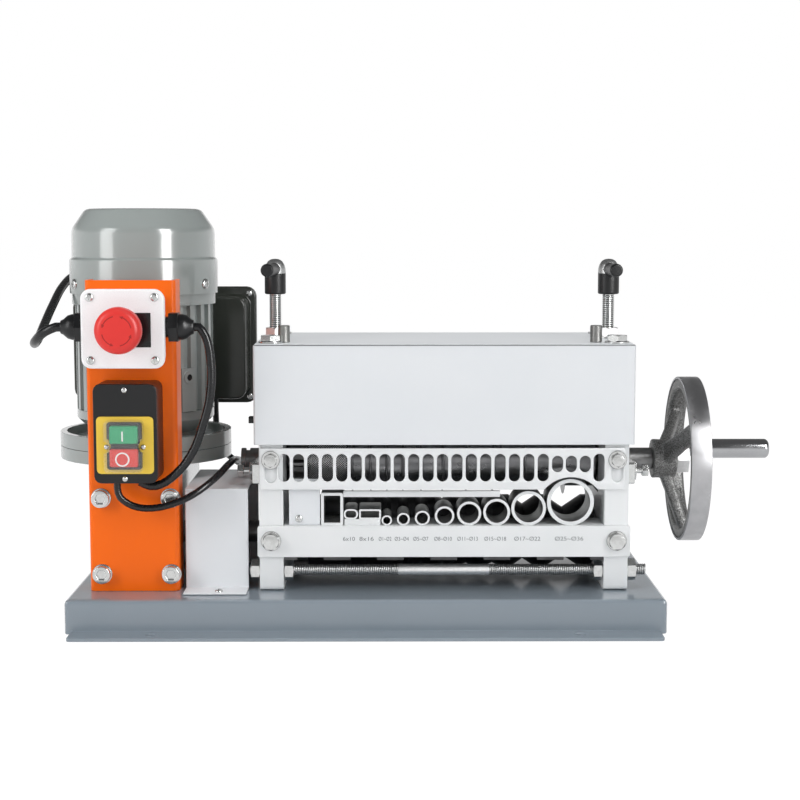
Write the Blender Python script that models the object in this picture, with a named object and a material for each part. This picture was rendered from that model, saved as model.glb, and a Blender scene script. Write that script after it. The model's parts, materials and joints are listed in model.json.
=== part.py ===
"""Bench machine that strips the sheath off scrap cable.

A motor on a worm gearbox turns grooved feed rollers. A second geared shaft above them carries round
blades, and two screws set how deep the blades cut. X runs along the shafts, to the handwheel, Y runs
away from the operator, and Z is up. All sizes are in metres. Inside the script X is measured from the
middle of the base, Y from the front of the end frames and Z from the floor, and the empty at the end of
the dimensions moves the whole machine so that the origin is the bottom centre of its bounding box.
"""

from math import acos, atan2, ceil, cos, pi, radians, sin, tan

import bmesh
import bpy
from mathutils import Matrix, Vector

for old in list(bpy.data.objects):
    bpy.data.objects.remove(old, do_unlink=True)

# Clearances
SEAT = 0.0003  # between faces that rest on each other
RUNNING = 0.0004  # around a turning or sliding piece
WELD = 0.000002  # corners nearer than this are one
DRILL_PAST = 0.010  # how far a drill stands past what it cuts

# Base pan
BASE_LENGTH = 0.520
BASE_DEPTH = 0.300
BASE_HEIGHT = 0.030
BASE_SHEET = 0.003
BASE_EDGE = 0.004  # radius of its folded edges
BASE_LIP = 0.025  # bolting lip in front and behind
BASE_LIP_INSET = 0.002
BASE_HOLE = 0.009
BASE_HOLE_SPREAD = 0.367
DECK_FRONT = 0.036  # how far the deck reaches in front of the end frames

# Roller frame
FRAME_LEFT = -0.094  # outer face of the left end frame
FRAME_THICK = 0.021
FRAME_DEPTH = 0.145
FRAME_CORNER = 0.004
SHAFT_Y = 0.0725
UPPER_Z = 0.1374
LOWER_Z = 0.070
SHAFT = 0.020
BEARING = 0.042
BEARING_WIDTH = 0.012
BLOCK_WIDTH = 0.052
BLOCK_HEIGHT = 0.050
BLOCK_CORNER = 0.002
BLOCK_DROP = 0.0015  # how far the blades can be screwed down from rest
BLOCK_LIFT = 0.004  # how far they can be lifted
WINDOW_SPARE = 0.001
ROD = 0.010
ROD_NUT = 0.017
ROD_NUT_THICK = 0.008
ROD_OVER_LEFT = 0.0015  # rod beyond its outer nuts
ROD_OVER_RIGHT = 0.008
FRONT_ROD_Y = 0.012
LOW_ROD_Z = 0.0467
HIGH_ROD_Z = 0.225
REAR_ROD_INSET = 0.012

# Feed bar, tubes and guards
BAR_THICK = 0.0035
BAR_LOW = 0.061
BAR_HIGH = 0.0885
BAR_OVERHANG = 0.0015
BAR_CORNER = 0.0015
SHELF_SHEET = 0.003
SHELF_DEPTH = 0.038
SHELF_DROP = 0.033
SHELF_NOTCH = 0.0045
SHELF_NOTCHES = 6
WELD_DEPTH = 0.0004  # how far the welded tubes sink into the shelf
TUBE_FRONT = 0.0015  # tube mouths behind the front of the end frames
TUBE_LENGTH = 0.036
ROUND_TUBES = (  # place along X from inside the left end frame, outside diameter
    (0.0908, 0.0092),
    (0.1054, 0.0113),
    (0.1221, 0.0132),
    (0.1416, 0.0171),
    (0.1632, 0.0213),
    (0.1874, 0.0237),
    (0.2155, 0.0306),
    (0.2522, 0.0413),
)
ROW_END = 0.00915  # from the last tube to the right end frame
TUBE_WALL_SHARE = 0.06  # wall of a round tube: this share of its diameter and a fixed part
TUBE_WALL_BASE = 0.0009
TUBE_SIDES_BASE = 2.1  # a tube has four sides for each of these,
TUBE_SIDES_STEP = 0.012  # and four more for each of these diameters
FLAT_TUBE_X = 0.0761
FLAT_TUBE = (0.0193, 0.0090)
OVAL_TUBE_X = 0.0593
OVAL_TUBE = (0.0126, 0.0092)
TALL_TUBE_X = 0.0428
TALL_TUBE = (0.0196, 0.0292)
FLAT_CORNER = 0.0012
OVAL_CORNER = 0.0043
TALL_CORNER = 0.002
PROFILE_WALL = 0.0016
TALL_WALL = 0.0026
RISER = (0.0316, 0.0055)  # block under the flat and the oval tube
GEAR_GUARD = (0.0272, 0.0408)
GEAR_GUARD_INSET = 0.005  # from inside the left end frame
GEAR_GUARD_SHEET = 0.002
GEAR_GUARD_FOOT = 0.022
GUARD_THICK = 0.003
GUARD_LOW = 0.1208
GUARD_HIGH = 0.1572
GUARD_LEFT = 0.0010  # inside the left end frame's outer face
GUARD_RIGHT = 0.0042
LONG_SLOT = (0.0098, 0.0245)
SHORT_SLOT = (0.0098, 0.0147)
SLOT_Z = 0.1400
SHORT_SLOT_Z = 0.1432
SLOT_FIRST_X = 0.0223  # from the outer face of the left end frame
SLOT_PITCH = 0.01257
SLOT_CLEAR = 0.024  # between the last long slot and the middle of the arch
SHORT_SLOTS = 3  # over the arch
SHORT_SLOT_PITCH = 0.0121
BOLT_SLOT = (0.0104, 0.0282)
BOLT_SLOT_Z = 0.1410
ARCH_RISE = 0.0108
ARCH_RADIUS = 0.0306
BAR_BOLT_Z = 0.0755
BOLT = 0.008

# Top cover and the adjusting screws
COVER_TOP = 0.2484
COVER_LOW = 0.1606
COVER_SHEET = 0.0015
COVER_FRONT = 0.0055  # in front of the end frames
COVER_BACK = 0.0065  # behind the end frames
COVER_OVERHANG = 0.0040
COVER_EDGE = 0.0015
COVER_BOLT_Y = 0.012
SCREW = 0.010
SCREW_HOLE = 0.0120
SLEEVE = 0.0200
SLEEVE_LOW = 0.2885
SLEEVE_TALL = 0.0185
SLEEVE_EDGE = 0.001
ELBOW = 0.0135  # height of the rounded cap over the sleeve
ELBOW_SHAPE = ((0.35, 0.96), (0.65, 0.82), (0.87, 0.52))  # shares of its height and radius
ARM = 0.0112
ARM_REACH = 0.043
ARM_EDGE = 0.002

# Side clamps that lock the sliding bearing blocks
CLAMP_PLATE = (0.0065, 0.040, 0.019)
CLAMP_CORNER = 0.002
CLAMP_Y = 0.030
CLAMP_Z = 0.1330
CLAMP_NUT = 0.016
CLAMP_NUT_THICK = 0.0035
CLAMP_STUD = 0.006
CLAMP_STUD_REACH = 0.0145
CLAMP_CAP = 0.010
CLAMP_CAP_THICK = 0.0055

# Shafts, gears, blades and rollers
GEAR_TEETH = 16
GEAR_SLACK = 0.0018  # the shafts stand this much wider than the gears' pitch circles
GEAR_BACKLASH = 0.0004
PRESSURE_ANGLE = radians(20)
GEAR_WIDTH = 0.016
GEAR_SIDE = 0.0025  # from the left end frame to the gears
BLADE = 0.065
BLADE_THICK = 0.003  # at the spacers, from where it tapers to its edge
SPACER = 0.050
DRUM = 0.048
DRUM_GAP = 0.0035  # from the gears to the drum
DRUM_WIDTH = 0.034
ROLLER = 0.043
ROLLER_GAP = 0.004  # from the rollers to the right end frame
GROOVE_SHARE = 0.42  # half the width of a groove, as a share of its tube
GROOVE_DEPTH_SHARE = 0.30
GROOVE_FLOOR = 0.003  # metal left between a groove and the shaft
SHAFT_SOCKET = 0.012  # how far the lower shaft reaches left of the column's side
SHAFT_PAST = 0.004  # lower shaft beyond the right end frame
SHAFT_EDGE = 0.001
STUB = 0.0215  # upper shaft beyond the left end frame
STUB_GROOVE = 0.0040
STUB_COLLAR = 0.0040  # from the end of the shaft to the groove
STUB_GROOVE_DEEP = 0.0020
HUB_START = 0.0310  # from the right end frame to the handwheel's hub

# Handwheel and its crank grip
WHEEL = 0.150
WHEEL_RIM_WIDTH = 0.0175
WHEEL_RIM_THICK = 0.011
WHEEL_OFFSET = 0.0240  # from the start of the hub to the rim
WHEEL_ROUND = 0.0025
HUB = 0.034
HUB_LENGTH = 0.022
HUB_BORE = 0.016
HUB_FLARE = 0.0012  # its root is this much larger in radius
SPOKES = 3
SPOKE_WIDTH = 0.020
SPOKE_THICK = 0.012
WHEEL_NUT = 0.024
WHEEL_NUT_THICK = 0.0112
GRIP_RADIUS = 0.0660
GRIP_PIN = 0.008
GRIP = 0.0185
GRIP_NECK = 0.014
GRIP_NECK_LONG = 0.006
GRIP_LENGTH = 0.0810
GRIP_BORE = 0.0729  # how far the pin reaches into it
GRIP_END_ROOM = 0.001
GRIP_EDGE = 0.002
GRIP_BOSS = 0.020
GRIP_BOSS_SHY = 0.0005  # the boss ends this much short of the rim's sides

# Control column
COLUMN_X = -0.2033
COLUMN_WIDTH = 0.0804
COLUMN_TOP = 0.307
COLUMN_DEPTH = 0.030
COLUMN_SHEET = 0.0025

# Emergency stop
STOP_X = -0.2022
STOP_Z = 0.2647
STOP_BOX = (0.0705, 0.0670)
STOP_CORNER = 0.008
STOP_BASE_DEEP = 0.029
STOP_LID_DEEP = 0.024
STOP_LABEL = (0.0165, 0.0290)
STOP_LABEL_X = 0.0200
STOP_LABEL_DEEP = 0.0006
STOP_COLLAR = 0.029
STOP_COLLAR_TALL = 0.006
STOP_STEM = 0.018
STOP_STEM_DEEP = 0.014  # how far it reaches into the lid
STOP_TRAVEL = 0.004
STOP_HEAD = 0.040
STOP_HEAD_GAP = 0.0060
STOP_HEAD_TALL = 0.0175
STOP_HEAD_SHAPE = (  # shares of its radius and height
    (0.62, 0),
    (0.92, 0.12),
    (1, 0.30),
    (1, 0.52),
    (0.95, 0.72),
    (0.80, 0.88),
    (0.5, 0.97),
)
GLAND_NUT = 0.024
GLAND_NUT_LONG = 0.008
GLAND_DOME = 0.022
GLAND_LONG = 0.0210
GLAND_TIP = 0.0115
GLAND_SHAPE = ((1, 0.55), (0.79, 0.72), (0.16, 0.90))  # shares of its bulge and length

# Switch
SWITCH_X = -0.2040
SWITCH_Z = 0.1745
SWITCH_BOX = (0.0540, 0.0850)
SWITCH_CORNER = 0.006
SWITCH_DEEP = 0.038
SWITCH_PLATE = (0.0485, 0.0490)
SWITCH_PLATE_Z = 0.1650
SWITCH_PLATE_THICK = 0.0015
BOOT = (0.0325, 0.0440)
BUTTON = (0.0238, 0.0152)
BUTTON_GAP = 0.0045
BUTTON_PROUD = 0.0090
BUTTON_DEEP = 0.0140
BUTTON_TRAVEL = 0.0025
BUTTON_EDGE = 0.001
BOOT_CORNER = 0.0035
BOOT_SHEET = 0.0008
BOOT_TALL = 0.0130

# Gearbox and motor
MOTOR_X = -0.2100
WORM_DISTANCE = 0.050  # between the worm's axis and the lower shaft
GEARBOX_GAP = 0.0005  # between the gearbox and the column's side walls
GEARBOX_TOP = 0.1345
GEARBOX_FOOT = 0.006
GEARBOX_ROUND = 0.012  # radius of its upper rear edge
GEARBOX_FRONT_ROUND = 0.014
GEARBOX_FRONT_DROP = 0.004  # its front edge lies this much lower
GEARBOX_WAIST = 0.006  # its sides step in behind the wheel case
GEARBOX_RIM = 0.0005  # the rim round its output stands this much proud
GEARBOX_BODY_BACK = 0.046  # behind the worm's axis
WHEEL_CASE = 0.039
FLANGE = 0.160
GEARBOX_NECK = 0.080
GEARBOX_FLANGE_THICK = 0.0115
SHIELD_FLANGE_THICK = 0.005
SHIELD_RIM_TALL = 0.0130
SHIELD_RIM_WALL = 0.006
SHIELD_NECK = 0.100
SHIELD_EDGE = 0.004
SHIELD_BOLT = 0.013
SHIELD_BOLT_TALL = 0.007
MOTOR_BODY = 0.128
SHIELD_TOP = 0.180
MOTOR_BODY_TOP = 0.283
FINS = 28
FIN_DEEP = 0.005
FIN_SHARE = 0.42
FAN_SKIRT = 0.1374
FAN_SKIRT_TALL = 0.032
FAN_COVER = 0.1330
FAN_COVER_TOP = 0.362
FAN_COVER_CHAMFER = 0.019
FAN_COVER_CROWN = 0.107
FAN_COVER_SHEET = 0.0015
FAN = 0.104
FAN_HUB = 0.028
FAN_DISC = 0.083
FAN_SHEET = 0.002
FAN_LIFT = 0.020  # over the top of the motor's body
FAN_BLADES = 6
FAN_TALL = 0.018
FAN_BLADE_THICK = 0.003
ROTOR_SHAFT = 0.014
ROTOR_PAST = 0.006  # shaft beyond the fan
ROTOR_SEAT = 0.012  # depth of the shaft in the body's bore
GRILLE_SLOTS = 12
GRILLE_SLOT = 0.0045
GRILLE_INNER = 0.018
GRILLE_OUTER = 0.044
SPIGOT_LOW = 0.005  # ring on top of the body, on which the fan's cover sits
SPIGOT_HIGH = 0.006
SPIGOT_BORE = 0.080
FOOT_PAD = (0.016, 0.040)
FOOT_PAD_PROUD = 0.002
FOOT_PAD_ANGLE = -45
FOOT_PAD_Z = 0.2005

# Terminal box behind the motor
TERMINAL_X = -0.2084
TERMINAL_Z = 0.2290
TERMINAL_BOX = (0.1710, 0.1017)
TERMINAL_FLANGE = (0.1846, 0.1190)
TERMINAL_FRONT = 0.205
TERMINAL_DEEP = 0.047
TERMINAL_FLANGE_THICK = 0.006
TERMINAL_LID_DEEP = 0.013
TERMINAL_LID_RIM = 0.0052
TERMINAL_LID_STEP = 0.006  # from its rim in to its raised middle
TERMINAL_CORNER = 0.010
TERMINAL_PAD = (0.090, 0.080)

# Coupling guard and coupling
SLEEVE_GUARD_SIDE = 0.0031  # from the column
SLEEVE_GUARD_GAP = 0.0105  # from the left end frame
SLEEVE_GUARD_FRONT = 0.008
SLEEVE_GUARD_BACK = 0.122
SLEEVE_GUARD_TOP = 0.1200
SLEEVE_GUARD_SHEET = 0.0015
SLEEVE_GUARD_FOOT = 0.025
COUPLING = 0.040
COUPLING_LONG = 0.042
COUPLING_WAIST = 0.003  # its middle third is turned down by this

# Cables
MAINS = 0.008
CONTROL = 0.0075
LEAD_ENTRY_X = -0.1792  # right end of the recess for it under the switch box
LEAD_ENTRY_LONG = 0.0225
LEAD_ENTRY_Y = -0.0220
LEAD_SPARE = 0.0010
MOTOR_LEAD = 0.0062
COIL_RADIUS = 0.0440  # middle of the turns
COIL_TURNS = 1.75  # in each of its two layers
COIL_CLIMB = 0.5  # turns over which it climbs to the upper layer
COIL_PITCH = 0.0086
COIL_X = -0.2520
COIL_Y = 0.3640
LOOP_POINTS = 24
LEAD_STEP = 2.5  # point spacing along a lead, in diameters
LEAD_PARTS = 12  # steps in which the curve between two route points is followed
TIE_WIDE = 0.010
TIE_THICK = 0.001
TIE_SPARE = 0.0009
PLUG = (0.038, 0.026, 0.024)
PLUG_EDGE = 0.004
PLUG_PIN = 0.0048
PLUG_PIN_LONG = 0.019
PLUG_PIN_SPREAD = 0.019
PLUG_TAIL = 0.016
PLUG_RUN = 0.046  # lead between the coil and the plug

# Places that several pieces share
INNER_LEFT = FRAME_LEFT + FRAME_THICK
INNER_RIGHT = INNER_LEFT + ROUND_TUBES[-1][0] + ROUND_TUBES[-1][1] / 2 + ROW_END
FRAME_RIGHT = INNER_RIGHT + FRAME_THICK
FRAME_SPAN = FRAME_RIGHT - FRAME_LEFT
FRAME_X = (FRAME_LEFT + FRAME_RIGHT) / 2
BOLT_XS = (FRAME_LEFT + FRAME_THICK / 2, FRAME_RIGHT - FRAME_THICK / 2)
DRUM_LEFT = INNER_LEFT + GEAR_SIDE + GEAR_WIDTH + DRUM_GAP
DECK = BASE_HEIGHT + SEAT
FRAME_TOP = COVER_TOP - COVER_SHEET - SEAT
BAR_FRONT = -SEAT
REAR_ROD_Y = FRAME_DEPTH - REAR_ROD_INSET
ROD_PLACES = {
    "front_tie_rod": (FRONT_ROD_Y, LOW_ROD_Z),
    "rear_tie_rod": (REAR_ROD_Y, LOW_ROD_Z),
    "upper_tie_rod": (REAR_ROD_Y, HIGH_ROD_Z),
}
COLUMN_RIGHT = COLUMN_X + COLUMN_WIDTH / 2
SLEEVE_GUARD_LEFT = COLUMN_RIGHT + SLEEVE_GUARD_SIDE
SLEEVE_GUARD_RIGHT = FRAME_LEFT - SLEEVE_GUARD_GAP
MOTOR_Y = SHAFT_Y + WORM_DISTANCE
FLANGE_SEAT = GEARBOX_TOP + GEARBOX_FLANGE_THICK
TUBE_SEAT = BAR_HIGH + SEAT
STOP_LID_FRONT = -(SEAT + STOP_BASE_DEEP + SEAT + STOP_LID_DEEP)
GLAND_Y = -(SEAT + STOP_BASE_DEEP + STOP_LID_DEEP) / 2
STOP_HEAD_BACK = STOP_LID_FRONT - STOP_COLLAR_TALL - STOP_HEAD_GAP
STOP_HEAD_FRONT = STOP_HEAD_BACK - STOP_HEAD_TALL
SWITCH_FRONT = -(SEAT + SWITCH_DEEP)
SWITCH_FACE = SWITCH_FRONT - SEAT - SWITCH_PLATE_THICK
HUB_LEFT = FRAME_RIGHT + HUB_START
HUB_RIGHT = HUB_LEFT + HUB_LENGTH
RIM_LEFT = HUB_LEFT + WHEEL_OFFSET
RIM_RIGHT = RIM_LEFT + WHEEL_RIM_WIDTH
GRIP_LEFT = RIM_RIGHT + RUNNING
GRIP_RIGHT = GRIP_LEFT + GRIP_LENGTH
BASE_BACK = BASE_DEPTH - DECK_FRONT
TERMINAL_BACK = TERMINAL_FRONT + TERMINAL_DEEP + TERMINAL_FLANGE_THICK
TERMINAL_LID_FRONT = TERMINAL_BACK + SEAT
TERMINAL_LID_BACK = TERMINAL_LID_FRONT + TERMINAL_LID_DEEP
COIL_LOW = SEAT + TIE_THICK + SEAT + MAINS / 2  # the tie passes under the coil
COIL_MIDDLE = COIL_TURNS + COIL_CLIMB / 2
COIL_INNER = COIL_RADIUS - COIL_PITCH * COIL_MIDDLE / 2
COIL_OUTER = COIL_RADIUS + COIL_PITCH * COIL_MIDDLE / 2

# Bounding box of the machine without its mains lead
LEFT_REACH = min(TERMINAL_X - TERMINAL_FLANGE[0] / 2, MOTOR_X - FLANGE / 2, -BASE_LENGTH / 2)
FRONT_REACH = min(STOP_HEAD_FRONT, -DECK_FRONT - BASE_LIP)
BACK_REACH = max(BASE_BACK + BASE_LIP, TERMINAL_LID_BACK)
machine = bpy.data.objects.new("machine", None)
bpy.context.scene.collection.objects.link(machine)
machine.location = (-(LEFT_REACH + GRIP_RIGHT) / 2, -(FRONT_REACH + BACK_REACH) / 2, 0)

# Turns that set a shape made around or along Z into the machine
UP = Matrix.Identity(4)
FORWARD = Matrix.Rotation(pi / 2, 4, "X")  # Z becomes -Y, towards the operator
RIGHTWARD = Matrix(((0, 0, 1, 0), (1, 0, 0, 0), (0, 1, 0, 0), (0, 0, 0, 1)))  # Z becomes X
LEFTWARD = Matrix.Rotation(pi, 4, "Z") @ RIGHTWARD


def finish(name, red, green, blue, roughness, metallic=0.0):
    """A plain material for one kind of surface."""
    made = bpy.data.materials.new(name)
    made.use_nodes = True
    shader = made.node_tree.nodes["Principled BSDF"]
    shader.inputs["Base Color"].default_value = (red, green, blue, 1)
    shader.inputs["Roughness"].default_value = roughness
    shader.inputs["Metallic"].default_value = metallic
    made.diffuse_color = (red, green, blue, 1)
    return made


BLUE_GREY = finish("blue_grey_enamel", 0.23, 0.29, 0.34, 0.3)
SILVER = finish("silver_enamel", 0.75, 0.77, 0.79, 0.35)
WHITE_SHEET = finish("white_powder_coat", 0.80, 0.82, 0.84, 0.4)
ORANGE = finish("orange_powder_coat", 0.95, 0.19, 0.02, 0.35)
GREY_PAINT = finish("grey_motor_paint", 0.29, 0.32, 0.31, 0.4)
ZINC = finish("zinc_plate", 0.75, 0.75, 0.76, 0.3, 1.0)
STEEL = finish("turned_steel", 0.45, 0.45, 0.46, 0.35, 1.0)
BLADE_STEEL = finish("ground_blade_steel", 0.6, 0.6, 0.62, 0.25, 1.0)
CAST_IRON = finish("cast_iron", 0.10, 0.10, 0.10, 0.7, 0.6)
CHROME = finish("chrome_grip", 0.7, 0.7, 0.7, 0.15, 1.0)
WHITE_PLASTIC = finish("white_abs", 0.85, 0.85, 0.86, 0.35)
BLACK_PLASTIC = finish("black_plastic", 0.02, 0.02, 0.022, 0.35)
GREY_PLASTIC = finish("dark_grey_plastic", 0.06, 0.065, 0.06, 0.35)
YELLOW_PLASTIC = finish("yellow_plastic", 0.85, 0.65, 0.03, 0.4)
CLEAR = finish("clear_silicone", 0.8, 0.8, 0.8, 0.2)
RED_PLASTIC = finish("red_plastic", 0.75, 0.02, 0.02, 0.35)
GREEN_PLASTIC = finish("green_plastic", 0.0, 0.35, 0.16, 0.35)
CABLE = finish("black_pvc", 0.015, 0.015, 0.016, 0.45)


def arc(centre, radius, start, end, steps):
    """Points round a centre, between two angles in degrees."""
    turns = [radians(start + (end - start) * step / steps) for step in range(steps + 1)]
    return [(centre[0] + radius * cos(turn), centre[1] + radius * sin(turn)) for turn in turns]


def circle(diameter, steps=20, centre=(0, 0)):
    return arc(centre, diameter / 2, 0, 360 - 360 / steps, steps - 1)


def hexagon(across_flats, centre=(0, 0)):
    return circle(across_flats / cos(pi / 6), 6, centre)


def rounded(width, height, radius, steps=3, centre=(0, 0)):
    """A rectangle with round corners."""
    x, y = width / 2 - radius, height / 2 - radius
    corners = ((x, y, 0), (-x, y, 90), (-x, -y, 180), (x, -y, 270))
    outline = []
    for over, up, start in corners:
        middle = (centre[0] + over, centre[1] + up)
        outline += arc(middle, radius, start, start + 90, steps)
    return outline


def obround(size, centre=(0, 0), steps=3):
    """A slot that stands upright, with round ends."""
    width, height = size
    rise = (height - width) / 2
    top = arc((centre[0], centre[1] + rise), width / 2, 0, 180, steps)
    bottom = arc((centre[0], centre[1] - rise), width / 2, 180, 360, steps)
    return top + bottom


def as_mesh(bm):
    """A closed mesh with its faces pointing out."""
    bmesh.ops.remove_doubles(bm, verts=bm.verts, dist=WELD)
    bmesh.ops.recalc_face_normals(bm, faces=bm.faces)
    mesh = bpy.data.meshes.new("solid")
    bm.to_mesh(mesh)
    bm.free()
    return mesh


def placed(mesh, at=(0, 0, 0), turn=UP):
    """The mesh turned, then moved."""
    mesh.transform(Matrix.Translation(at) @ turn)
    return mesh


def plate(outline, thickness, holes=(), at=(0, 0, 0), turn=UP):
    """An outline with holes, raised along Z from 0 to its thickness."""
    curve = bpy.data.curves.new("outline", "CURVE")
    curve.dimensions = "2D"
    curve.fill_mode = "BOTH"
    curve.extrude = thickness / 2
    for ring in (outline, *holes):
        spline = curve.splines.new("POLY")
        spline.points.add(len(ring) - 1)
        spline.use_cyclic_u = True
        for point, (x, y) in zip(spline.points, ring):
            point.co = (x, y, 0, 1)
    guide = bpy.data.objects.new("outline", curve)
    filled = bpy.data.meshes.new_from_object(guide)
    bm = bmesh.new()
    bm.from_mesh(filled)
    bmesh.ops.translate(bm, verts=bm.verts, vec=(0, 0, thickness / 2))
    bpy.data.objects.remove(guide)
    return placed(as_mesh(bm), at, turn)


def turned(profile, steps=24, at=(0, 0, 0), turn=UP):
    """A profile of radius and height spun round Z; it is a closed ring unless it ends on the axis."""
    bm = bmesh.new()
    verts = [bm.verts.new((radius, 0, height)) for radius, height in profile]
    edges = [bm.edges.new(pair) for pair in zip(verts, verts[1:])]
    if profile[0][0] > 0 or profile[-1][0] > 0:
        edges.append(bm.edges.new((verts[-1], verts[0])))
    whole = dict(cent=(0, 0, 0), axis=(0, 0, 1), angle=2 * pi, steps=steps, use_merge=True)
    bmesh.ops.spin(bm, geom=verts + edges, **whole)
    return placed(as_mesh(bm), at, turn)


def rod(diameter, length, steps=16, at=(0, 0, 0), turn=UP, chamfer=0.0):
    """A round bar along Z."""
    radius = diameter / 2
    if not chamfer:
        return turned([(0, 0), (radius, 0), (radius, length), (0, length)], steps, at, turn)
    profile = [(0, 0), (radius - chamfer, 0), (radius, chamfer)]
    profile += [(radius, length - chamfer), (radius - chamfer, length), (0, length)]
    return turned(profile, steps, at, turn)


def ring(outer, inner, length, steps=20, at=(0, 0, 0), turn=UP):
    """A tube along Z."""
    profile = [(inner / 2, 0), (outer / 2, 0), (outer / 2, length), (inner / 2, length)]
    return turned(profile, steps, at, turn)


def block(low, high, bevel=0.0, segments=2):
    """A box between two corners, with all its edges rounded if bevel is given."""
    bm = bmesh.new()
    bmesh.ops.create_cube(bm, size=1)
    size = [b - a for a, b in zip(low, high)]
    middle = [(a + b) / 2 for a, b in zip(low, high)]
    bmesh.ops.scale(bm, verts=bm.verts, vec=size)
    bmesh.ops.translate(bm, verts=bm.verts, vec=middle)
    if bevel:
        rounding = dict(offset=bevel, segments=segments, profile=0.5, affect="EDGES")
        bmesh.ops.bevel(bm, geom=bm.edges[:], **rounding)
    return as_mesh(bm)


def gathered(meshes):
    """Several separate solids in one mesh."""
    bm = bmesh.new()
    for mesh in meshes:
        bm.from_mesh(mesh)
    return as_mesh(bm)


def combined(mesh, others, operation):
    """The first solid after a Boolean with each of the others."""
    scene = bpy.context.scene.collection
    piece = bpy.data.objects.new("piece", mesh)
    scene.objects.link(piece)
    tools = []
    for other in others:
        tool = bpy.data.objects.new("tool", other)
        scene.objects.link(tool)
        tools.append(tool)
        step = piece.modifiers.new("step", "BOOLEAN")
        step.operation = operation
        step.solver = "EXACT"
        step.object = tool
    bpy.context.view_layer.update()
    seen = piece.evaluated_get(bpy.context.evaluated_depsgraph_get())
    made = bpy.data.meshes.new_from_object(seen)
    for used in (piece, *tools):
        bpy.data.objects.remove(used)
    bm = bmesh.new()
    bm.from_mesh(made)
    return as_mesh(bm)


def united(mesh, *others):
    return combined(mesh, others, "UNION")


def cut(mesh, *others):
    return combined(mesh, others, "DIFFERENCE")


def put(name, mesh, material, axis=(0, 0, 0), at=None):
    """The finished piece under its name, with its origin on axis, or at its own place."""
    if at is None:
        mesh.transform(Matrix.Translation(-Vector(axis)))
    mesh.materials.clear()
    mesh.materials.append(material)
    mesh.shade_smooth()
    mesh.set_sharp_from_angle(angle=radians(30))
    mesh.name = name
    piece = bpy.data.objects.new(name, mesh)
    piece.location = axis if at is None else at
    piece.parent = machine
    bpy.context.scene.collection.objects.link(piece)
    return piece


def base_pan():
    """A folded pan, open below, with a bolting lip in front and behind."""
    below = BASE_HEIGHT
    half = BASE_LENGTH / 2
    low, high = (-half, -DECK_FRONT, -below), (half, BASE_BACK, BASE_HEIGHT)
    pan = block(low, high, BASE_EDGE, 2)
    lips = []
    for near, far in ((-DECK_FRONT - BASE_LIP, -DECK_FRONT), (BASE_BACK, BASE_BACK + BASE_LIP)):
        overlap = BASE_SHEET / 2
        front, back = (near, far + overlap) if far <= 0 else (near - overlap, far)
        width = 2 * (half - BASE_LIP_INSET - BASE_EDGE)
        holes = []
        for side in (-1, 1):
            holes.append(circle(BASE_HOLE, 12, (side * BASE_HOLE_SPREAD / 2, 0)))
        outline = rounded(width, back - front, BASE_SHEET, 3)
        middle = (0, (front + back) / 2, 0)
        lips.append(plate(outline, BASE_SHEET, holes, middle))
    margin = BASE_EDGE
    room = block(
        (-half + BASE_SHEET, -DECK_FRONT + BASE_SHEET, -below - margin),
        (half - BASE_SHEET, BASE_BACK - BASE_SHEET, BASE_HEIGHT - BASE_SHEET),
    )
    ground = block(
        (-half - margin, -DECK_FRONT - margin, -below - margin),
        (half + margin, BASE_BACK + margin, 0),
    )
    pan = cut(pan, ground, room)
    put("base_pan", united(pan, *lips), BLUE_GREY)


def end_frames():
    """Thick end plates with a fixed bearing bore below and a window for the sliding block above."""
    window_low = UPPER_Z - BLOCK_HEIGHT / 2 - BLOCK_DROP - WINDOW_SPARE
    window_high = UPPER_Z + BLOCK_HEIGHT / 2 + BLOCK_LIFT + WINDOW_SPARE
    centre = (FRAME_DEPTH / 2, (DECK + FRAME_TOP) / 2)
    outline = rounded(FRAME_DEPTH, FRAME_TOP - DECK, FRAME_CORNER, 2, centre)
    window = rounded(
        BLOCK_WIDTH + 2 * RUNNING,
        window_high - window_low,
        BLOCK_CORNER,
        1,
        (SHAFT_Y, (window_low + window_high) / 2),
    )
    holes = [window, circle(BEARING + 2 * SEAT, 20, (SHAFT_Y, LOWER_Z))]
    for y, z in ROD_PLACES.values():
        holes.append(circle(ROD + 2 * RUNNING, 10, (y, z)))
    for name, left in (("left_end_frame", FRAME_LEFT), ("right_end_frame", INNER_RIGHT)):
        frame = plate(outline, FRAME_THICK, holes, (left, 0, 0), RIGHTWARD)
        middle = left + FRAME_THICK / 2
        drill = rod(SCREW + 2 * RUNNING, FRAME_TOP, 12, (middle, SHAFT_Y, window_high - WINDOW_SPARE))
        put(name, cut(frame, drill), SILVER)


def tie_rods():
    """Threaded rods that hold the end frames apart, with their nuts on them."""
    for name, (y, z) in ROD_PLACES.items():
        # The upper rod ends flush, as the cover leaves no room for a nut outside the frame.
        upper = z == HIGH_ROD_Z
        left = FRAME_LEFT if upper else FRAME_LEFT - ROD_NUT_THICK - ROD_OVER_LEFT
        right = FRAME_RIGHT if upper else FRAME_RIGHT + ROD_NUT_THICK + ROD_OVER_RIGHT
        bar = rod(ROD, right - left, 10, (left, y, z), RIGHTWARD)
        places = [INNER_LEFT + SEAT, INNER_RIGHT - SEAT - ROD_NUT_THICK]
        if not upper:
            places += [FRAME_LEFT - SEAT - ROD_NUT_THICK, FRAME_RIGHT + SEAT]
        nuts = [plate(hexagon(ROD_NUT), ROD_NUT_THICK, (), (x, y, z), RIGHTWARD) for x in places]
        put(name, united(bar, *nuts), ZINC, (FRAME_X, y, z))


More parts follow.
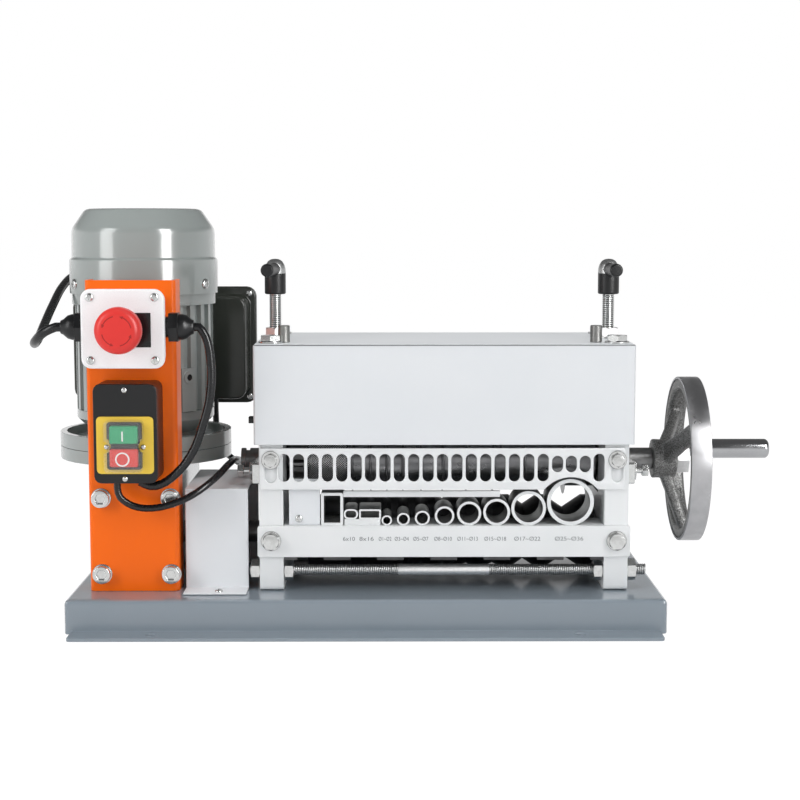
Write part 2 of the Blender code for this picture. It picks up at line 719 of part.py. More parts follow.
def feed_bar():
    """The bar across the front that bears the cable sizes."""
    width = FRAME_SPAN + 2 * BAR_OVERHANG
    height = BAR_HIGH - BAR_LOW
    holes = []
    for side in (-1, 1):
        x = side * (FRAME_SPAN - FRAME_THICK) / 2
        holes.append(circle(BOLT + 2 * RUNNING, 12, (x, BAR_BOLT_Z - (BAR_LOW + BAR_HIGH) / 2)))
    outline = rounded(width, height, BAR_CORNER, 2)
    middle = (FRAME_X, BAR_FRONT, (BAR_LOW + BAR_HIGH) / 2)
    put("size_bar", plate(outline, BAR_THICK, holes, middle, FORWARD), SILVER)


def tube_along(outline, inside, x, base):
    """A tube that lies along Y on the shelf, from its outline in X and Z and that of its bore."""
    at = (INNER_LEFT + x, TUBE_FRONT + TUBE_LENGTH, base)
    return plate(outline, TUBE_LENGTH, [inside], at, FORWARD)


def tube_rack():
    """A folded shelf with the guide tubes welded on it: a tall, an oval, a flat and eight round."""
    left, right = INNER_LEFT + SEAT, INNER_RIGHT - SEAT
    under, low = BAR_HIGH - SHELF_SHEET, BAR_HIGH - SHELF_DROP
    fold = [(0, low), (SHELF_SHEET, low), (SHELF_SHEET, under), (SHELF_DEPTH, under)]
    fold += [(SHELF_DEPTH, BAR_HIGH), (0, BAR_HIGH)]
    shelf = plate(fold, right - left, (), (left, 0, 0), RIGHTWARD)
    notches = []
    pitch = (right - left) / SHELF_NOTCHES
    for notch in range(SHELF_NOTCHES):
        start = left + pitch * (notch + 0.25)
        spare = SHELF_SHEET
        high = (start + pitch / 2, SHELF_SHEET + spare, low + SHELF_NOTCH)
        notches.append(block((start, -spare, low - spare), high))
    shelf = cut(shelf, gathered(notches))

    tubes = []
    weld = BAR_HIGH - WELD_DEPTH
    for x, diameter in ROUND_TUBES:
        bore = diameter - 2 * (TUBE_WALL_BASE + TUBE_WALL_SHARE * diameter)
        steps = 4 * ceil(TUBE_SIDES_BASE + diameter / TUBE_SIDES_STEP)
        centre = (0, diameter / 2)
        outline, inside = circle(diameter, steps, centre), circle(bore, steps, centre)
        tubes.append(tube_along(outline, inside, x, weld))
    width, height = TALL_TUBE
    centre = (0, height / 2)
    outline = rounded(width, height, TALL_CORNER, 2, centre)
    inside = rounded(width - 2 * TALL_WALL, height - 2 * TALL_WALL, TALL_CORNER / 2, 2, centre)
    tubes.append(tube_along(outline, inside, TALL_TUBE_X, weld))
    riser_wide, riser_tall = RISER
    riser_x = INNER_LEFT + (FLAT_TUBE_X + OVAL_TUBE_X) / 2 + (FLAT_TUBE[0] - OVAL_TUBE[0]) / 4
    riser = block(
        (riser_x - riser_wide / 2, TUBE_FRONT + SEAT, weld),
        (riser_x + riser_wide / 2, TUBE_FRONT + TUBE_LENGTH - SEAT, BAR_HIGH + riser_tall),
    )
    shaped = ((FLAT_TUBE, FLAT_TUBE_X, FLAT_CORNER), (OVAL_TUBE, OVAL_TUBE_X, OVAL_CORNER))
    for size, x, radius in shaped:
        width, height = size
        centre = (0, height / 2)
        inner = max(radius - PROFILE_WALL, FLAT_CORNER / 2)
        outline = rounded(width, height, radius, 3, centre)
        inside = rounded(width - 2 * PROFILE_WALL, height - 2 * PROFILE_WALL, inner, 3, centre)
        tubes.append(tube_along(outline, inside, x, weld + riser_tall))
    put("tube_rack", united(shelf, riser, gathered(tubes)), SILVER)


def gear_guard():
    """A small folded plate in front of the gear pair, standing on the shelf."""
    width, height = GEAR_GUARD
    left = INNER_LEFT + GEAR_GUARD_INSET
    low = (left, TUBE_FRONT, TUBE_SEAT)
    wall = block(low, (left + width, TUBE_FRONT + GEAR_GUARD_SHEET, TUBE_SEAT + height))
    foot = block(low, (left + width, TUBE_FRONT + GEAR_GUARD_FOOT, TUBE_SEAT + GEAR_GUARD_SHEET))
    put("gear_guard", united(wall, foot), WHITE_SHEET)


def slotted_guard():
    """The ventilated guard plate, which slides up and down on two bolts."""
    left = FRAME_LEFT + GUARD_LEFT
    right = FRAME_RIGHT - GUARD_RIGHT
    arch_x = INNER_LEFT + ROUND_TUBES[-1][0]
    half = (ARCH_RADIUS**2 - (ARCH_RADIUS - ARCH_RISE) ** 2) ** 0.5
    swing = atan2(half, ARCH_RADIUS - ARCH_RISE) * 180 / pi
    centre = (arch_x, GUARD_LOW + ARCH_RISE - ARCH_RADIUS)
    outline = [(left, GUARD_LOW), (left, GUARD_HIGH), (right, GUARD_HIGH), (right, GUARD_LOW)]
    outline += arc(centre, ARCH_RADIUS, 90 - swing, 90 + swing, 8)
    holes = []
    first = FRAME_LEFT + SLOT_FIRST_X
    for slot in range(int((arch_x - SLOT_CLEAR - first) / SLOT_PITCH) + 1):
        holes.append(obround(LONG_SLOT, (first + slot * SLOT_PITCH, SLOT_Z)))
    for slot in range(SHORT_SLOTS):
        x = arch_x + (slot - (SHORT_SLOTS - 1) / 2) * SHORT_SLOT_PITCH
        holes.append(obround(SHORT_SLOT, (x, SHORT_SLOT_Z)))
    end = arch_x + (SHORT_SLOTS + 1) / 2 * SHORT_SLOT_PITCH
    holes.append(obround(LONG_SLOT, (end, SLOT_Z)))
    for x in BOLT_XS:
        holes.append(obround(BOLT_SLOT, (x, BOLT_SLOT_Z)))
    guard = plate(outline, GUARD_THICK, holes, (0, BAR_FRONT, 0), FORWARD)
    put("slotted_guard", guard, SILVER)


def top_cover():
    """A folded sheet box, open below, over the upper half of the end frames."""
    half = FRAME_SPAN / 2 + COVER_OVERHANG
    left, right = FRAME_X - half, FRAME_X + half
    front, back = -COVER_FRONT, FRAME_DEPTH + COVER_BACK
    sheet = COVER_SHEET
    skin = block((left, front, COVER_LOW - COVER_EDGE * 4), (right, back, COVER_TOP), COVER_EDGE, 1)
    low = COVER_LOW - COVER_EDGE * 8
    ground = block((left - sheet, front - sheet, low), (right + sheet, back + sheet, COVER_LOW))
    room = block((left + sheet, front + sheet, low), (right - sheet, back - sheet, COVER_TOP - sheet))
    drills = []
    for x in BOLT_XS:
        low = COVER_TOP - DRILL_PAST
        drills.append(rod(SCREW_HOLE, 2 * DRILL_PAST, 12, (x, SHAFT_Y, low)))
        for y in (COVER_BOLT_Y, FRAME_DEPTH - COVER_BOLT_Y):
            drills.append(rod(BOLT + 2 * RUNNING, 2 * DRILL_PAST, 10, (x, y, low)))
    put("top_cover", cut(cut(skin, ground, room), gathered(drills)), WHITE_SHEET)


def adjusting_screws():
    """Two screws that bear on the sliding blocks, each with a bent lever handle."""
    foot = UPPER_Z + BLOCK_HEIGHT / 2 + SEAT
    for side, x in (("left", BOLT_XS[0]), ("right", BOLT_XS[1])):
        axis = (x, SHAFT_Y, SLEEVE_LOW)
        stem = rod(SCREW, SLEEVE_LOW - SEAT - foot, 12, (x, SHAFT_Y, foot), UP, SLEEVE_EDGE)
        put(side + "_adjusting_screw", stem, ZINC, axis)
        edge, radius = SLEEVE_EDGE, SLEEVE / 2
        profile = [(0, 0), (radius - edge, 0), (radius, edge), (radius, SLEEVE_TALL)]
        for height, share in ELBOW_SHAPE:
            profile.append((radius * share, SLEEVE_TALL + ELBOW * height))
        profile.append((0, SLEEVE_TALL + ELBOW))
        sleeve = turned(profile, 16, (x, SHAFT_Y, SLEEVE_LOW))
        arm_z = SLEEVE_LOW + SLEEVE_TALL + ELBOW * 0.3
        reach, edge, radius = ARM_REACH, ARM_EDGE, ARM / 2
        arm = [(0, 0), (radius, 0), (radius, reach - edge), (radius - edge, reach), (0, reach)]
        handle = united(sleeve, turned(arm, 12, (x, SHAFT_Y, arm_z), FORWARD))
        put(side + "_screw_handle", handle, BLACK_PLASTIC, axis)


def bearing_blocks():
    """Blocks that slide in the windows and carry the upper shaft's bearings."""
    outline = rounded(BLOCK_WIDTH, BLOCK_HEIGHT, BLOCK_CORNER, 1)
    bore = circle(BEARING + 2 * SEAT, 20)
    for name, left in (("left_bearing_block", FRAME_LEFT), ("right_bearing_block", INNER_RIGHT)):
        at = (left, SHAFT_Y, UPPER_Z)
        put(name, plate(outline, FRAME_THICK, [bore], at, RIGHTWARD), STEEL, at)


def bearings():
    """The four ball bearings, each as one ring."""
    for side, left in (("left", FRAME_LEFT), ("right", INNER_RIGHT)):
        x = left + (FRAME_THICK - BEARING_WIDTH) / 2
        for level, z in (("upper", UPPER_Z), ("lower", LOWER_Z)):
            axis = (x, SHAFT_Y, z)
            race = ring(BEARING, SHAFT + 2 * RUNNING, BEARING_WIDTH, 20, axis, RIGHTWARD)
            put(f"{side}_{level}_bearing", race, STEEL, axis)


def side_clamps():
    """Clamp plates on studs, which lock the sliding blocks from outside."""
    thick, deep, tall = CLAMP_PLATE
    places = (("left", FRAME_LEFT - SEAT, LEFTWARD), ("right", FRAME_RIGHT + SEAT, RIGHTWARD))
    for side, face, turn in places:
        overlap = SEAT
        bar = plate(rounded(deep, tall, CLAMP_CORNER, 2), thick)
        nut = plate(hexagon(CLAMP_NUT), CLAMP_NUT_THICK + overlap, at=(0, 0, thick - overlap))
        stud = rod(CLAMP_STUD, CLAMP_STUD_REACH, 12, (0, 0, thick / 2))
        cap_low = thick + CLAMP_STUD_REACH - CLAMP_CAP_THICK
        cap = plate(hexagon(CLAMP_CAP), CLAMP_CAP_THICK, at=(0, 0, cap_low))
        at = (face, CLAMP_Y, CLAMP_Z)
        put(side + "_side_clamp", placed(united(bar, nut, stud, cap), at, turn), ZINC, at)


def gear_outline():
    """Involute teeth, in Y and Z, with tooth 0 on the first axis."""
    module = (UPPER_Z - LOWER_Z - GEAR_SLACK) / GEAR_TEETH
    pitch = GEAR_TEETH * module / 2
    base = pitch * cos(PRESSURE_ANGLE)
    root, tip = pitch - 1.15 * module, pitch + 0.9 * module
    half = pi / (2 * GEAR_TEETH) - GEAR_BACKLASH / (2 * pitch)

    def lean(radius):
        roll = acos(min(1, base / radius))
        return tan(roll) - roll

    radii = [root, base, pitch, tip]
    flank = [(radius, half + lean(pitch) - lean(max(radius, base))) for radius in radii]
    outline = []
    for tooth in range(GEAR_TEETH):
        middle = 2 * pi * tooth / GEAR_TEETH
        for radius, spread in flank:
            outline.append((radius * cos(middle - spread), radius * sin(middle - spread)))
        for radius, spread in reversed(flank):
            outline.append((radius * cos(middle + spread), radius * sin(middle + spread)))
    return outline


def gears():
    """Two equal gears: a tooth of the upper one points down, into a gap of the lower one."""
    bore = circle(SHAFT + 2 * SEAT)
    x = INNER_LEFT + GEAR_SIDE
    outline = gear_outline()
    places = (("upper_gear", UPPER_Z, -pi / 2), ("lower_gear", LOWER_Z, pi / 2 + pi / GEAR_TEETH))
    for name, z, turn in places:
        at = (x, SHAFT_Y, z)
        spin = RIGHTWARD @ Matrix.Rotation(turn, 4, "Z")
        put(name, plate(outline, GEAR_WIDTH, [bore], at, spin), STEEL, at)


def upper_shaft():
    """The blade shaft, with a grooved stub on the left and the handwheel's seat on the right."""
    radius, seat, start = SHAFT / 2, HUB_BORE / 2, FRAME_LEFT - STUB
    groove, end = start + STUB_COLLAR, HUB_RIGHT + WHEEL_NUT_THICK
    low = radius - STUB_GROOVE_DEEP
    profile = [(0, start), (radius, start), (radius, groove), (low, groove)]
    profile += [(low, groove + STUB_GROOVE), (radius, groove + STUB_GROOVE)]
    profile += [(radius, HUB_LEFT - RUNNING), (seat, HUB_LEFT - RUNNING), (seat, end), (0, end)]
    axis = (0, SHAFT_Y, UPPER_Z)
    put("upper_shaft", turned(profile, 16, axis, RIGHTWARD), STEEL, axis)


def blade_places():
    """Where the blades stand along X: one over each tube except the tall one."""
    places = [OVAL_TUBE_X, FLAT_TUBE_X] + [x for x, diameter in ROUND_TUBES]
    return [INNER_LEFT + x for x in places]


def blade_stack():
    """Round knives with bevelled edges, clamped between spacers, and the knurled drum beside them."""
    bore, core = SHAFT / 2 + SEAT, SPACER / 2
    axis = (0, SHAFT_Y, UPPER_Z)
    half, tip = BLADE_THICK / 2, BLADE / 2
    start, end = DRUM_LEFT + DRUM_WIDTH + SEAT, INNER_RIGHT - GEAR_SIDE
    profile = [(bore, start), (core, start)]
    for x in blade_places():
        profile += [(core, x - half), (tip, x), (core, x + half)]
    profile += [(core, end), (bore, end)]
    put("blade_stack", turned(profile, 16, axis, RIGHTWARD), BLADE_STEEL, axis)
    drum = ring(DRUM, 2 * bore, DRUM_WIDTH, 20, (DRUM_LEFT, SHAFT_Y, UPPER_Z), RIGHTWARD)
    put("knurled_drum", drum, STEEL, axis)


def lower_shaft():
    """The driven shaft, from the gearbox's hollow output to the right end frame."""
    start = COLUMN_RIGHT - SHAFT_SOCKET
    end = FRAME_RIGHT + SHAFT_PAST
    axis = (0, SHAFT_Y, LOWER_Z)
    at = (start, SHAFT_Y, LOWER_Z)
    put("lower_shaft", rod(SHAFT, end - start, 16, at, RIGHTWARD, SHAFT_EDGE), STEEL, axis)
    left = (SLEEVE_GUARD_LEFT + SLEEVE_GUARD_RIGHT - COUPLING_LONG) / 2
    hub, waist = COUPLING / 2, COUPLING / 2 - COUPLING_WAIST
    bore = SHAFT / 2 + SEAT
    third = COUPLING_LONG / 3
    profile = [(bore, 0), (hub, 0), (hub, third), (waist, third), (waist, 2 * third), (hub, 2 * third)]
    profile += [(hub, COUPLING_LONG), (bore, COUPLING_LONG)]
    put("shaft_coupling", turned(profile, 20, (left, SHAFT_Y, LOWER_Z), RIGHTWARD), STEEL, axis)


def feed_rollers():
    """One long roller with a V groove under each blade."""
    top, bore = ROLLER / 2, SHAFT / 2 + SEAT
    left, right = DRUM_LEFT, INNER_RIGHT - ROLLER_GAP
    profile = [(bore, left), (top, left)]
    sizes = [OVAL_TUBE[1], FLAT_TUBE[1]] + [diameter for x, diameter in ROUND_TUBES]
    for x, size in zip(blade_places(), sizes):
        half, deep = GROOVE_SHARE * size, GROOVE_DEPTH_SHARE * size
        deep = min(deep, top - bore - GROOVE_FLOOR)
        profile += [(top, x - half), (top - deep, x), (top, x + half)]
    profile += [(top, right), (bore, right)]
    axis = (0, SHAFT_Y, LOWER_Z)
    put("feed_rollers", turned(profile, 16, axis, RIGHTWARD), STEEL, axis)


def spoke(angle):
    """A tapered arm from the hub out to the rim, which stands further right than the hub."""
    inner, outer = HUB / 4, WHEEL / 2 - WHEEL_RIM_THICK / 2
    hub_x = HUB_LEFT + HUB_LENGTH / 2
    rim_x = RIM_LEFT + WHEEL_RIM_WIDTH / 2
    bm = bmesh.new()
    rings = []
    for reach, x, wide, thick in (
        (inner, hub_x, SPOKE_WIDTH, SPOKE_THICK),
        ((inner + outer) / 2, (hub_x + rim_x) / 2, SPOKE_WIDTH * 0.8, SPOKE_THICK * 0.85),
        (outer, rim_x, SPOKE_WIDTH, SPOKE_THICK * 0.8),
    ):
        points = rounded(wide, thick, thick * 0.3, 2)
        rings.append([bm.verts.new((x + depth, across, reach)) for across, depth in points])
    for first, second in zip(rings, rings[1:]):
        count = len(first)
        for corner in range(count):
            after = (corner + 1) % count
            bm.faces.new((first[corner], first[after], second[after], second[corner]))
    bm.faces.new(rings[0])
    bm.faces.new(rings[-1])
    turn = Matrix.Rotation(radians(angle), 4, "X")
    return placed(as_mesh(bm), (0, SHAFT_Y, UPPER_Z), turn)


def handwheel():
    """A dished cast wheel with three spokes, its hub nut, and the crank grip on its pin."""
    axis = (0, SHAFT_Y, UPPER_Z)
    outer, inner, soft = WHEEL / 2, WHEEL / 2 - WHEEL_RIM_THICK, WHEEL_ROUND
    left, right = RIM_LEFT, RIM_RIGHT
    profile = [(inner, left + soft), (inner + soft, left), (outer - soft, left)]
    profile += [(outer, left + soft), (outer, right - soft), (outer - soft, right)]
    profile += [(inner + soft, right), (inner, right - soft)]
    rim = turned(profile, 32, axis, RIGHTWARD)
    bore = HUB_BORE / 2 + SEAT
    flare = HUB / 2 + HUB_FLARE
    profile = [(bore, HUB_LEFT), (flare, HUB_LEFT), (HUB / 2, HUB_RIGHT), (bore, HUB_RIGHT)]
    hub = turned(profile, 16, axis, RIGHTWARD)
    grip_axis = (0, SHAFT_Y + GRIP_RADIUS, UPPER_Z)
    spokes = []
    for number in range(SPOKES):
        arm = spoke(180 + number * 360 / SPOKES)
        start = (HUB_LEFT - HUB_LENGTH / 2, SHAFT_Y, UPPER_Z)
        drill = rod(HUB_BORE + 2 * SEAT, HUB_LENGTH * 2, 16, start, RIGHTWARD)
        spokes.append(cut(arm, drill))
    overlap = WHEEL_RIM_WIDTH / 2
    boss_long = WHEEL_RIM_WIDTH - 2 * GRIP_BOSS_SHY
    boss = rod(GRIP_BOSS, boss_long, 16, (left + GRIP_BOSS_SHY, *grip_axis[1:]), RIGHTWARD)
    pin_length = overlap + RUNNING + GRIP_BORE
    pin = rod(GRIP_PIN, pin_length, 12, (right - overlap, *grip_axis[1:]), RIGHTWARD)
    put("handwheel", united(rim, hub, *spokes, boss, pin), CAST_IRON, axis)
    at = (HUB_RIGHT + SEAT, SHAFT_Y, UPPER_Z)
    bore = circle(HUB_BORE + 2 * SEAT)
    nut = plate(hexagon(WHEEL_NUT), WHEEL_NUT_THICK, [bore], at, RIGHTWARD)
    put("wheel_nut", nut, ZINC, axis)

    bore, deep, edge = GRIP_PIN / 2 + RUNNING, GRIP_BORE + GRIP_END_ROOM, GRIP_EDGE
    neck, body, end = GRIP_NECK / 2, GRIP / 2, GRIP_LENGTH
    profile = [(0, deep), (bore, deep), (bore, 0), (neck, 0), (neck, GRIP_NECK_LONG)]
    profile += [(body, 2 * GRIP_NECK_LONG), (body, end - edge), (body - edge, end), (0, end)]
    grip = turned(profile, 16, (GRIP_LEFT, *grip_axis[1:]), RIGHTWARD)
    put("grip", grip, CHROME, grip_axis)


def control_column():
    """A folded channel, open behind, that stands in front of the gearbox."""
    left, right = COLUMN_X - COLUMN_WIDTH / 2, COLUMN_X + COLUMN_WIDTH / 2
    sheet = inner = COLUMN_SHEET
    bend = 2 * sheet
    outline = [(left, COLUMN_DEPTH)]
    outline += arc((left + bend, bend), bend, 180, 270, 3)
    outline += arc((right - bend, bend), bend, 270, 360, 3)
    outline += [(right, COLUMN_DEPTH), (right - sheet, COLUMN_DEPTH)]
    outline += arc((right - sheet - inner, sheet + inner), inner, 0, -90, 3)
    outline += arc((left + sheet + inner, sheet + inner), inner, 270, 180, 3)
    outline += [(left + sheet, COLUMN_DEPTH)]
    channel = plate(outline, COLUMN_TOP - DECK, (), (0, 0, DECK))
    put("control_column", channel, ORANGE)


def emergency_stop():
    """A two-part box with a mushroom head that pushes in and twists out."""
    width, height = STOP_BOX
    outline = rounded(width, height, STOP_CORNER, 4)
    at = (STOP_X, -SEAT, STOP_Z)
    base = plate(outline, STOP_BASE_DEEP, (), at, FORWARD)
    put("estop_box_base", base, WHITE_PLASTIC)
    lid_back = -(SEAT + STOP_BASE_DEEP + SEAT)
    lid = plate(outline, STOP_LID_DEEP, (), (STOP_X, lid_back, STOP_Z), FORWARD)
    stem_room = STOP_STEM + 2 * RUNNING
    at = (STOP_X, STOP_LID_FRONT + STOP_COLLAR_TALL, STOP_Z)
    collar = rod(STOP_COLLAR, STOP_COLLAR_TALL * 2, 24, at, FORWARD)
    deep = STOP_STEM_DEEP + STOP_TRAVEL + SEAT
    at = (STOP_X, STOP_LID_FRONT + deep, STOP_Z)
    bore = rod(stem_room, deep + 2 * DRILL_PAST, 16, at, FORWARD)
    wide, tall = STOP_LABEL
    label_x = STOP_X + STOP_LABEL_X
    label = block(
        (label_x - wide / 2, STOP_LID_FRONT - DRILL_PAST, STOP_Z - tall / 2),
        (label_x + wide / 2, STOP_LID_FRONT + STOP_LABEL_DEEP, STOP_Z + tall / 2),
    )
    put("estop_box_lid", cut(united(cut(lid, label), collar), bore), WHITE_PLASTIC)
    axis = (STOP_X, STOP_LID_FRONT, STOP_Z)
    stem_length = STOP_LID_FRONT + STOP_STEM_DEEP - STOP_HEAD_BACK - SEAT
    at = (STOP_X, STOP_LID_FRONT + STOP_STEM_DEEP, STOP_Z)
    put("estop_stem", rod(STOP_STEM, stem_length, 16, at, FORWARD), BLACK_PLASTIC, axis)
    radius, tall = STOP_HEAD / 2, STOP_HEAD_TALL
    profile = [(0, 0)] + [(radius * across, tall * up) for across, up in STOP_HEAD_SHAPE]
    profile.append((0, tall))
    head = turned(profile, 24, (STOP_X, STOP_HEAD_BACK, STOP_Z), FORWARD)
    put("estop_head", head, RED_PLASTIC, axis)
    for name, side, turn in (("left_gland", -1, LEFTWARD), ("right_gland", 1, RIGHTWARD)):
        face = STOP_X + side * (width / 2 + SEAT)
        at = (face, GLAND_Y, STOP_Z)
        nut = plate(hexagon(GLAND_NUT), GLAND_NUT_LONG)
        dome, tip, long = GLAND_DOME / 2, GLAND_TIP / 2, GLAND_LONG
        profile = [(0, GLAND_NUT_LONG / 2), (dome, GLAND_NUT_LONG / 2)]
        profile += [(tip + (dome - tip) * bulge, long * along) for bulge, along in GLAND_SHAPE]
        profile += [(tip, long), (0, long)]
        put(name, placed(united(nut, turned(profile, 16)), at, turn), BLACK_PLASTIC, at)


def switch():
    """A start and stop switch in a deep box, with a clear boot over its two buttons."""
    width, height = SWITCH_BOX
    at = (SWITCH_X, -SEAT, SWITCH_Z)
    box = plate(rounded(width, height, SWITCH_CORNER), SWITCH_DEEP, (), at, FORWARD)
    wide, tall = BUTTON
    places = {}
    for name, side in (("start_button", 1), ("stop_button", -1)):
        places[name] = SWITCH_PLATE_Z + side * (tall + BUTTON_GAP) / 2
    holes = []
    for z in places.values():
        holes.append(rounded(wide + 2 * RUNNING, tall + 2 * RUNNING, BUTTON_EDGE, 1, (0, z)))
    deep = BUTTON_DEEP + BUTTON_TRAVEL + SEAT
    at_sockets = (SWITCH_X, SWITCH_FRONT + deep, 0)
    sockets = [plate(hole, deep + DRILL_PAST, (), at_sockets, FORWARD) for hole in holes]
    # The lead from the stop box runs up into a recess in the underside.
    under = SWITCH_Z - height / 2
    half = CONTROL / 2 + LEAD_SPARE
    entry = block(
        (LEAD_ENTRY_X - LEAD_ENTRY_LONG, LEAD_ENTRY_Y - half, under - half),
        (LEAD_ENTRY_X, LEAD_ENTRY_Y + half, under + CONTROL),
    )
    put("switch_box", cut(box, gathered(sockets), entry), BLACK_PLASTIC)

    outline = rounded(*SWITCH_PLATE, BOOT_CORNER, 3, (0, SWITCH_PLATE_Z))
    at = (SWITCH_X, SWITCH_FRONT - SEAT, 0)
    put("switch_face_plate", plate(outline, SWITCH_PLATE_THICK, holes, at, FORWARD), YELLOW_PLASTIC)

    wide_boot, tall_boot = BOOT
    centre = (0, SWITCH_PLATE_Z)
    at = (SWITCH_X, SWITCH_FACE - SEAT, 0)
    shell = plate(rounded(wide_boot, tall_boot, BOOT_CORNER, 3, centre), BOOT_TALL, (), at, FORWARD)
    wide_room, tall_room = wide_boot - 2 * BOOT_SHEET, tall_boot - 2 * BOOT_SHEET
    inside = rounded(wide_room, tall_room, BOOT_CORNER - BOOT_SHEET, 3, centre)
    at = (SWITCH_X, SWITCH_FACE + DRILL_PAST, 0)
    room = plate(inside, BOOT_TALL + DRILL_PAST - SEAT - BOOT_SHEET, (), at, FORWARD)
    put("switch_boot", cut(shell, room), CLEAR)

    for name, colour in (("start_button", GREEN_PLASTIC), ("stop_button", RED_PLASTIC)):
        z = places[name]
        length = BUTTON_DEEP + BUTTON_PROUD + SEAT + SWITCH_PLATE_THICK
        low = (SWITCH_X - wide / 2, SWITCH_FRONT + BUTTON_DEEP - length, z - tall / 2)
        high = (SWITCH_X + wide / 2, SWITCH_FRONT + BUTTON_DEEP, z + tall / 2)
        put(name, block(low, high, BUTTON_EDGE, 1), colour, (SWITCH_X, SWITCH_FRONT, z))


def gearbox():
    """The worm gearbox: a rounded wheel case, a square worm case above, a foot and a round flange."""
    half = COLUMN_WIDTH / 2 - COLUMN_SHEET - GEARBOX_GAP
    left, width = COLUMN_X - half, 2 * half
    front = 2 * COLUMN_SHEET + SEAT
    back = MOTOR_Y + GEARBOX_BODY_BACK
    foot_top = DECK + GEARBOX_FOOT
    bend, front_bend = GEARBOX_ROUND, GEARBOX_FRONT_ROUND
    outline = [(front, DECK), (back, DECK)]
    outline += arc((back - bend, GEARBOX_TOP - bend), bend, 0, 90, 3)
    front_top = GEARBOX_TOP - GEARBOX_FRONT_DROP
    outline += arc((front + front_bend, front_top - front_bend), front_bend, 90, 180, 4)
    case = plate(outline, width, (), (left, 0, 0), RIGHTWARD)
    # A raised pad meets the column's flat front between its folded corners.
    inset = 2 * COLUMN_SHEET
    pad = block(
        (left + inset, COLUMN_SHEET + SEAT, DECK + GEARBOX_FOOT),
        (left + width - inset, front + inset, front_top - front_bend),
    )
    waist = GEARBOX_WAIST
    scoops = []
    for x in (left - waist, left + width - waist):
        low = (x, SHAFT_Y + WHEEL_CASE, foot_top)
        scoops.append(block(low, (x + 2 * waist, back + waist, GEARBOX_TOP - 2 * bend)))
    side = left + width
    at = (side - 2 * GEARBOX_RIM, SHAFT_Y, LOWER_Z)
    rim = ring(2 * (WHEEL_CASE - waist / 2), 2 * SHAFT, 3 * GEARBOX_RIM, 20, at, RIGHTWARD)
    flange = rod(FLANGE, GEARBOX_FLANGE_THICK, 32, (MOTOR_X, MOTOR_Y, GEARBOX_TOP))
    low = GEARBOX_TOP - 2 * bend
    neck = rod(GEARBOX_NECK, FLANGE_SEAT - low - SEAT, 20, (MOTOR_X, MOTOR_Y, low))
    at = (COLUMN_RIGHT - SHAFT_SOCKET - DRILL_PAST / 2, SHAFT_Y, LOWER_Z)
    bore = rod(SHAFT + 2 * RUNNING, SHAFT_SOCKET + 2 * DRILL_PAST, 16, at, RIGHTWARD)
    case = cut(case, gathered(scoops))
    put("gearbox_housing", cut(united(case, pad, rim, neck, flange), bore), GREY_PAINT)


def motor():
    """A flanged fan-cooled motor that stands on the gearbox."""
    centre = (MOTOR_X, MOTOR_Y, 0)
    low = FLANGE_SEAT + SEAT
    outer, rim = FLANGE / 2, FLANGE / 2 - SHIELD_RIM_WALL
    floor, top = low + SHIELD_FLANGE_THICK, low + SHIELD_RIM_TALL
    neck, body = SHIELD_NECK / 2, MOTOR_BODY / 2
    profile = [(0, low), (outer, low), (outer, top), (rim, top), (rim, floor)]
    edge = SHIELD_EDGE
    profile += [(neck, floor), (neck, top), (body - edge, SHIELD_TOP - 3 * edge)]
    profile += [(body, SHIELD_TOP - 2 * edge), (body, SHIELD_TOP), (0, SHIELD_TOP)]
    shield = turned(profile, 32, centre)
    bolts = []
    for quarter in range(4):
        angle = radians(45 + 90 * quarter)
        reach = (rim + neck) / 2
        at = (MOTOR_X + reach * cos(angle), MOTOR_Y + reach * sin(angle), floor - SEAT)
        bolts.append(plate(hexagon(SHIELD_BOLT), SHIELD_BOLT_TALL, (), at))
    put("motor_end_shield", united(shield, gathered(bolts)), GREY_PAINT)

    outline = []
    root = body - FIN_DEEP
    pitch = 360 / FINS
    for fin in range(FINS):
        start = (fin - FIN_SHARE / 2) * pitch
        outline += arc((0, 0), body, start, start + pitch * FIN_SHARE, 1)
        outline += arc((0, 0), root, start + pitch * FIN_SHARE, start + pitch, 1)
    height = MOTOR_BODY_TOP - SHIELD_TOP - 2 * SEAT
    bottom = SHIELD_TOP + SEAT
    bore = circle(ROTOR_SHAFT + 2 * RUNNING, 16)
    fins = plate(outline, height, [bore], (MOTOR_X, MOTOR_Y, bottom))
    wide, tall = TERMINAL_PAD
    pad = block(
        (MOTOR_X - wide / 2, MOTOR_Y + root / 2, TERMINAL_Z - tall / 2),
        (MOTOR_X + wide / 2, TERMINAL_FRONT - SEAT, TERMINAL_Z + tall / 2),
    )
    spigot_wide = FAN_SKIRT - 2 * (FAN_COVER_SHEET + SEAT)
    seat = (MOTOR_X, MOTOR_Y, MOTOR_BODY_TOP - SPIGOT_LOW)
    spigot = ring(spigot_wide, SPIGOT_BORE, SPIGOT_LOW + SPIGOT_HIGH, 32, seat)
    wide, tall = FOOT_PAD
    feet = []
    for angle in (FOOT_PAD_ANGLE, -FOOT_PAD_ANGLE):
        foot = block((root / 2, -wide / 2, -tall / 2), (body + FOOT_PAD_PROUD, wide / 2, tall / 2))
        at = (MOTOR_X, MOTOR_Y, FOOT_PAD_Z)
        feet.append(placed(foot, at, Matrix.Rotation(radians(angle), 4, "Z")))
    put("motor_body", united(fins, spigot, pad, *feet), GREY_PAINT)


